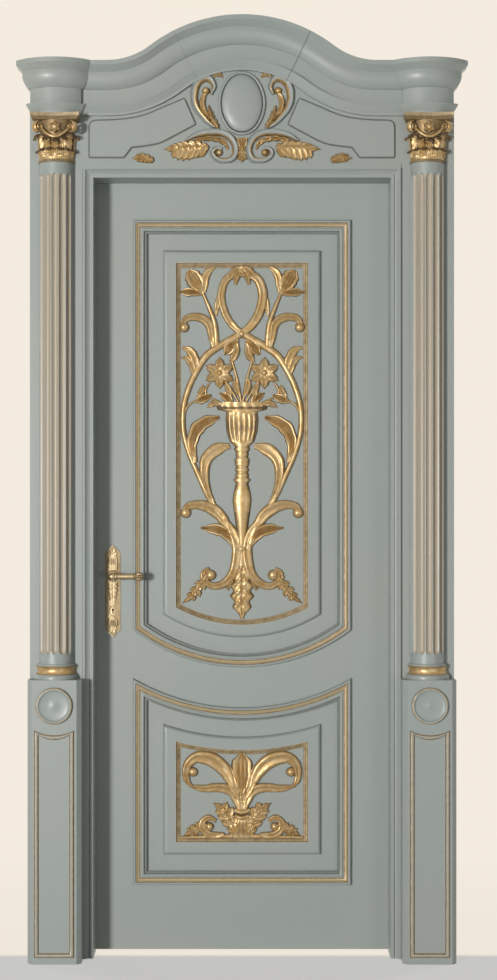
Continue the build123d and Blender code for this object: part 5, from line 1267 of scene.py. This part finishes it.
def abacus_ring(grow, z):
    """One level of the slab: a front edge hollowed by 1 - t^2 and two corners on the board, all grown."""
    t = np.linspace(-1, 1, 25)
    half = ABACUS_HALF_W + grow
    y = BOARD_FRONT_Y - ABACUS_DEPTH - grow + ABACUS_HOLLOW * (1 - t ** 2)
    edge = np.stack([COLUMN_X + half * t, y, np.full(len(t), z)], 1)
    back = [(COLUMN_X + half, BOARD_FRONT_Y, z), (COLUMN_X - half, BOARD_FRONT_Y, z)]
    return np.concatenate([edge, back])


bell_profile = [(45.0, 2134.0), (47.5, 2136.0), (48.0, 2138.5), (47.5, 2141.0), (44.0, 2142.5),
                (41.0, 2150.0), (41.5, 2180.0), (43.5, 2215.0), (48.0, 2240.0), (50.0, 2246.0)]
bell_radius, bell_level = columns(bell_profile)
bell_angle = np.linspace(0, np.pi, 49)[None, :]
on_bell_ring = (bell_level < BELL_RING_Z)[:, None]
# Painted shade with patina: the bell behind its leaves goes brown, its drawn ring darker still.
bell = stack(half_rings(bell_radius[:, None] * np.ones_like(bell_angle), bell_level, bell_angle),
             gilt=np.where(on_bell_ring, DRAWN, 1.0), hollow=np.where(on_bell_ring, 0.8, 0.62))
abacus = stack(np.stack([abacus_ring(*step) for step in ABACUS_STEPS]), gilt=DRAWN, hollow=ABACUS_SHADE)
garland = stroke(AXIS + smooth(GARLAND, 60), swell(60, 3.5, 4.6, 3.5), swell(60, 5, 6, 5), sink=6.0)
capital = [bell, abacus, garland, *scrolls, ball(AXIS + BLOOM, BLOOM_R / 2, BLOOM_R / 2)]
capital += petals(AXIS + BLOOM, BLOOM_R, 0.3, 90.0, (3.0, 6.5, 2.0), (5.0, 6.5, 4.0), ribbed_leaf, 5.0, 14)
print("capital without its leaves:", len(capital), "parts")

# %% Leaves round the bell
MIDDLE_LEAF = (2190, 13, 7)
PAIRED_LEAVES = {
    90: (2204, 13, 8), 52: (2206, 14, 10), 27: (2196, 12, 8),
    15: (2168, 12, 7), 40: (2168, 13, 7), 72: (2166, 13, 6),
}
capital.append(climbing_leaf(0.0, *MIDDLE_LEAF))
for angle, sizes in PAIRED_LEAVES.items():
    capital += [climbing_leaf(math.radians(side * angle), *sizes) for side in (-1, 1)]
piece("acanthus_capitals", both(capital), "frame", lacquer, "gilded_wood", "capitals")

# %% [markdown]
# ## Door furniture
# The levers are turned brass with a ribbed knob, on long cast plates with reeded relief, a crown and a
# shell. The CAD plates keep their domed form and their keyhole, so the cast relief is laid on them as
# further strokes, and the levers are turned afresh: a profile of distance and radius spun round the grip's
# own axis.

# %% Levers
LEVER_X, LEVER_Z, LEVER_Y = -353.0, 1026.0, 31.0
REAR_INSET = 2.1
KNOB_RIBS, KNOB_ENDS, KNOB_GROOVE = 8, (66.0, 83.0), 0.2


def turned(profile, centre, shade, ribs=0, ends=(0.0, 0.0), sides=48):
    """A profile of (along X, radius) spun round the X axis; a cosine of the angle ribs it between ends."""
    along, radius = (values[:, None] for values in columns(profile))
    angle = np.linspace(0, 2 * np.pi, sides, endpoint=False)[None, :]
    groove = (0.5 - 0.5 * np.cos(ribs * angle)) * ((along > ends[0]) & (along < ends[1]))
    ribbed = radius * (1 - KNOB_GROOVE * groove)
    rings = np.stack([along + 0 * angle, ribbed * np.cos(angle), ribbed * np.sin(angle)], axis=-1)
    # Painted shade in the knob's grooves and at the steps given by shade.
    dark = np.clip(np.asarray(shade)[:, None] + 0.8 * groove, 0, 1)
    return stack(rings + np.asarray(centre, float), hollow=dark)


grip = [
    (-10.0, 0.5), (-9.2, 4.2), (-7.0, 7.2), (-3.5, 9.3), (0.0, 10.0), (4.0, 9.6), (8.0, 8.2), (9.0, 8.8),
    (11.0, 9.4), (13.0, 8.8), (14.0, 7.6), (17.0, 7.4), (30.0, 7.4), (45.0, 7.7), (57.0, 8.0), (60.0, 7.6),
    (61.0, 9.6), (62.5, 10.4), (64.0, 9.6), (65.0, 8.4), (67.0, 10.0), (70.0, 11.6), (74.0, 12.0),
    (78.0, 11.4), (81.5, 9.4), (83.5, 6.6), (84.5, 5.6), (85.6, 3.6), (86.0, 0.4),
]
grip_at, _ = columns(grip)
grip_shade = np.where(np.isin(grip_at, (8.0, 14.0, 60.0, 65.0, 83.5)), 0.8, 0.0)
neck = [(8.0, 0.0), (8.0, 11.5), (9.8, 12.5), (10.0, 14.0), (9.0, 15.5), (7.6, 17.0), (7.2, 24.0),
        (8.0, 36.0), (8.4, 42.0), (0.5, 43.0)]
front_lever = [turned(grip, (LEVER_X, LEVER_Y, LEVER_Z), grip_shade, KNOB_RIBS, KNOB_ENDS),
               spun(neck, (LEVER_X, LEAF_FRONT_Y, LEVER_Z), 40)]
piece("turned_lever_front", front_lever, "lever_set", brass, "brass", "front_lever")
rear_shift = np.array((0, 2 * LEAF_MID_Y - REAR_INSET, 0))
rear_lever = [flipped(part, REARWARD, rear_shift) for part in front_lever]
piece("turned_lever_rear", rear_lever, "lever_set", brass, "brass", "rear_lever")

# %% [markdown]
# The plates are cast in one piece with their relief: reeds above the lever, a hanging leaf below it, a
# shell at each end, a collar and a rim round the keyhole. A flat piece deep in the keyhole keeps the light
# out, as the lock case does on the real door; its hollow mark paints it the deep brass tone as shade. The
# hollow marks on collar, rim and screw heads are painted shade.

# %% Relief on the backplates
KEY_Z, KEY_RIM_W, KEY_RIM_H = 930.5, 8.6, 14.0
PLATE_FRONT_Y, PLATE_HALF_W, PLATE_DOME = 70.2, 21.0, 4.0
PLATE_LEAVES = {
    "reeds": ([(0, 1042), (0, 1062), (0, 1084)], (11.5, 11.5, 10.5, 9), 3.0, fanned_petal, 0.0),
    "hanging leaf": ([(0, 1010), (0, 980), (0, 951)], (11.5, 12, 11.5, 9, 6), 3.2, ribbed_leaf, 0.2),
    "lower reeds": ([(0, 915), (0, 900), (0, 886)], (6, 11, 12, 9), 3.6, fanned_petal, 0.0),
}
SHELL_ENDS = ((1086.0, 1), (884.0, -1))
SCREW_LEVELS = (1090.0, 880.0)


def on_plate(points):
    """Places (X from the middle, Z) on the front of the domed plate, which falls off with X squared."""
    across, z = columns(points)
    y = PLATE_FRONT_Y + (across / PLATE_HALF_W) ** 2 * PLATE_DOME
    return np.stack([LEVER_X + across, y, z], axis=1)


def keyhole_loop(inset):
    """An upright ellipse round the keyhole, moved in by inset."""
    angle = np.linspace(0, 2 * np.pi, 40, endpoint=False)
    x = LEVER_X + (KEY_RIM_W - inset) * np.cos(angle)
    return np.stack([x, KEY_Z + (KEY_RIM_H - inset) * np.sin(angle)], axis=1)


def shell(foot, up):
    """Three scooped leaves that spread up or down from a foot: one in the middle and one on each side."""
    middle = [(0, foot - 4 * up), (0, foot + 10 * up), (0, foot + 22 * up)]
    parts = [leaf(middle, on_plate, (5, 8, 2), 4.4, scooped, 0.1)]
    for side in (-1, 1):
        aside = [(3 * side, foot - 4 * up), (8 * side, foot + 8 * up), (11.5 * side, foot + 9 * up)]
        parts.append(leaf(aside, on_plate, (4, 6, 3), 3.6, scooped, 0.0))
    return parts


collar = [(16.0, 2.0), (16.0, 6.6), (15.0, 8.2), (13.6, 8.6), (13.4, 10.4), (12.2, 11.8), (10.6, 12.0),
          (9.6, 11.0)]
screw_head = [(3.6, 3.0), (3.6, 6.6), (2.8, 7.6), (1.0, 7.9), (0.8, 7.0), (0.1, 7.0)]
rim = [(-1.5, 72.0), (-1.5, 69.4), (-0.6, 68.0), (0.6, 68.0), (1.6, 69.4), (1.6, 72.0)]
key_back = [(12.0, -0.5), (12.0, 1.2), (0.3, 1.2)]
plate_relief = cuts(leaf, on_plate, PLATE_LEAVES) + [
    spun(collar, (LEVER_X, LEAF_FRONT_Y, LEVER_Z), 48, hollow=(1, 0.3, 0, 0.9, 0.8, 0, 0, 0.6)),
    spun(key_back, (LEVER_X, LEAF_FRONT_Y, KEY_Z), 24, hollow=(1, 1, 1)),
    stack(carried(keyhole_loop, rim), True, hollow=np.array((1.0, 0.5, 0, 0, 0.5, 1.0))),
]
for foot, up in SHELL_ENDS:
    plate_relief += shell(foot, up)
plate_relief += [spun(screw_head, (LEVER_X, LEAF_FRONT_Y - 1.0, z), 20, hollow=(1, 0.6, 0, 0.3, 1, 1))
                 for z in SCREW_LEVELS]
piece("front_plate_relief", plate_relief, "leaf", brass, "brass")
piece("rear_plate_relief", [behind(part) for part in plate_relief], "leaf", brass, "brass")

# %% [markdown]
# Each hinge leaf is held by four flat-headed screws. They only show when the door stands open. One turned
# head is moved to the leaf's edge and mirrored onto the jamb's.

# %% Hinge screws
HINGE_LEVELS, SCREW_OFFSETS, SCREW_Y = (235.0, 1057.0, 1879.0), (-41.0, -15.0, 15.0, 41.0), 100.0
LEAF_EDGE_X, JAMB_EDGE_X = 409.0, 412.0
head = [(-1.0, 4.2), (0.0, 4.2), (0.35, 3.6), (0.4, 1.6), (0.1, 1.2), (0.1, 0.1)]
head_shade = (1.0, 0.7, 0.1, 0.1, 0.9, 1.0)
levels = [hinge + offset for hinge in HINGE_LEVELS for offset in SCREW_OFFSETS]
heads = [turned(head, (0.0, SCREW_Y, z), head_shade, sides=16) for z in levels]
leaf_heads = [(places + np.array((LEAF_EDGE_X, 0, 0)), *rest) for places, *rest in heads]
jamb_heads = [flipped(part, np.array((-1, 1, 1)), np.array((JAMB_EDGE_X, 0, 0))) for part in heads]
piece("hinge_screws_leaf", leaf_heads, "leaf", steel, "steel")
piece("hinge_screws_jamb", jamb_heads, "frame", steel, "steel")

# %% [markdown]
# ## Finishes for the CAD nodes
# Jambs, casings, boards, pedestals, rails and the cornice are right as they are; they only need their
# finish. Joints between boards stay open and dark. The cornice is made in three pieces and the casing
# stands beside the column's board, so their finishes get a thin dark mask by place along each joint;
# right of the casing the mask is wider and darker, as painted shadow of the casing.

# %% Masks by place
CROWN_CENTRE_Z, JOINT_ANGLE = 2.1224, math.radians(26.928)
CASING_EDGE_X, CASING_TOP_Z = 0.4288, 2.122


def cornice_joints(finish):
    """1 within about a millimetre of either joint: distance across the ray at the joint's angle."""
    x = finish.axis("X")
    height = finish.axis("Z") - CROWN_CENTRE_Z
    away = x.math("ABSOLUTE") * math.cos(JOINT_ANGLE) - height * math.sin(JOINT_ANGLE)
    near = 1 - away.math("ABSOLUTE").step(0.0002, 0.0018)
    return near * (x.step(-0.1, 0.1) * 0.55 + 0.3) * height.step(0.05, 0.12)


def casing_joints(finish):
    """1 in the open joint just outside the casing's edge; wider and darker on the right, where it is
    painted shadow of the casing.
    """
    x = finish.axis("X")
    right = x.step(-0.1, 0.1)
    away = (x.math("ABSOLUTE") - CASING_EDGE_X).math("ABSOLUTE")
    near = 1 - (away - right * 0.0014).step(0.0006, 0.0018)
    return near * (right * 0.4 + 0.5) * (1 - finish.axis("Z").step(CASING_TOP_Z, CASING_TOP_Z + 0.008))


print("cornice joints lean", round(math.degrees(JOINT_ANGLE), 1), "degrees from upright")

# %% Finishes for the CAD nodes
cornice_lacquer = lacquer_finish("cornice_lacquer", cornice_joints)
casing_lacquer = lacquer_finish("casing_lacquer", casing_joints)
by_slot = {"brass": brass, "steel": steel, "seal_rubber": rubber}
by_name = {"cornice": cornice_lacquer, "casing": casing_lacquer, "back_board": casing_lacquer}
for name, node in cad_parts.items():
    slot = node.data.materials[0].name.split(".")[0]
    named = [finish for start, finish in by_name.items() if name.startswith(start)]
    node.data.materials.clear()
    node.data.materials.append(named[0] if named else by_slot.get(slot, lacquer))
print("finished", len(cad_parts), "CAD nodes")

# %% [markdown]
# ## Floor, world and light
# A pale floor carries the shadow. Behind the door the photograph shows a cream wall; the door opens that
# way, so instead of a wall the far floor and the world take the cream for rays that show the background.
# Mirrors of brass see it too, while the light on the door comes from the lamps.

# %% Floor
CREAM = (0.905, 0.835, 0.735, 1)
FLOOR_GREY = (0.62, 0.63, 0.625, 1)
FLOOR_SPOT = (0.66, 0.67, 0.665, 1)
FLOOR_PALE = (0.80, 0.79, 0.765, 1)
FLOOR_HALF, SPOT_WAVES = 12, 3.0


def background_rays(graph):
    """1 for rays that show the background: the larger of camera, glossy and transmission ray."""
    seen, glossy, clear = (graph.node("ShaderNodeLightPath", {}, {}, kind)
                           for kind in ("Is Camera Ray", "Is Glossy Ray", "Is Transmission Ray"))
    return seen.math("MAXIMUM", glossy).math("MAXIMUM", clear)


def floor_finish():
    """Pale grey near the viewer, cream behind the door's plane; a share of it glows for background rays."""
    finish = Finish("pale_floor")
    spot = finish.noise(SPOT_WAVES)
    depth = finish.axis("Y")
    far = depth.step(0.0, 0.04)
    grey = finish.mix(spot, FLOOR_GREY, FLOOR_SPOT)
    dull = {"Base Color": finish.mix(far, grey, CREAM), "Roughness": 1.0, "Specular IOR Level": 0.0}
    plain = finish.node("ShaderNodeBsdfPrincipled", {}, dull)
    glow = finish.node("ShaderNodeEmission", {}, {"Color": finish.mix(far, FLOOR_PALE, CREAM)})
    share = 0.6 + far * (0.32 + depth.step(0.1, 2.0) * 0.08)
    mixed = finish.node("ShaderNodeMixShader", {}, {0: share * background_rays(finish), 1: plain, 2: glow})
    finish.node("ShaderNodeOutputMaterial", {}, {"Surface": mixed})
    return finish.material


floor_mesh = bpy.data.meshes.new("floor")
floor_corners = [(FLOOR_HALF * x, FLOOR_HALF * y, 0) for x, y in ((-1, -1), (1, -1), (1, 1), (-1, 1))]
floor_mesh.from_pydata(floor_corners, [], [(0, 1, 2, 3)])
floor_mesh.materials.append(floor_finish())
floor = bpy.data.objects.new("floor", floor_mesh)
bpy.context.scene.collection.objects.link(floor)
print("floor", floor.dimensions[:2])

# %% [markdown]
# The shadow beside the left casing tells where the lamp stands: about 27 degrees to the left, far away, and
# at chest height, because the head throws no shadow on the leaf. A weak lamp low on the right opens the
# shadows of the carving. Two lamps behind keep the back and the sides readable; they stand so far back that
# the front boards hide them from everything in front, and they leave no highlight along the edges.

# %% Lamps and world
LAMP_WHITE, FILL_BLUE, FILL_STRENGTH = (1.0, 0.975, 0.94), (0.96, 0.98, 1.0, 1), 0.09


def lamp(name, place, target, watts, size, glints=True):
    """A square lamp at a place that looks at a target; without glints it leaves no highlight."""
    light = bpy.data.lights.new(name, "AREA")
    light.energy = watts
    light.size = size
    light.color = LAMP_WHITE
    made = bpy.data.objects.new(name, light)
    made.location = place
    made.rotation_euler = (Vector(target) - Vector(place)).to_track_quat("-Z", "Y").to_euler()
    made.visible_camera = False
    made.visible_glossy = glints
    bpy.context.scene.collection.objects.link(made)
    print(name, watts, "W")


lamp("side_lamp", (-4.05, -8.0, 1.3), (0.0, 0.0, 1.0), 585.0, 1.1)
lamp("right_lamp", (2.4, -4.2, 0.35), (0.2, 0.0, 0.4), 26.0, 1.2)
lamp("rear_left_lamp", (-6.0, 4.2, 1.8), (0.0, 0.1, 1.2), 290.0, 2.0, False)
lamp("rear_right_lamp", (6.0, 4.2, 1.8), (0.0, 0.1, 1.2), 290.0, 2.0, False)

world = bpy.data.worlds.new("studio")
bpy.context.scene.world = world
sky = Graph(world)
fill = sky.node("ShaderNodeBackground", {}, {"Color": FILL_BLUE, "Strength": FILL_STRENGTH})
pale = sky.node("ShaderNodeBackground", {}, {"Color": CREAM})
both_skies = sky.node("ShaderNodeMixShader", {}, {0: background_rays(sky), 1: fill, 2: pale})
sky.node("ShaderNodeOutputWorld", {}, {"Surface": both_skies})
print("world nodes", len(sky.tree.nodes))
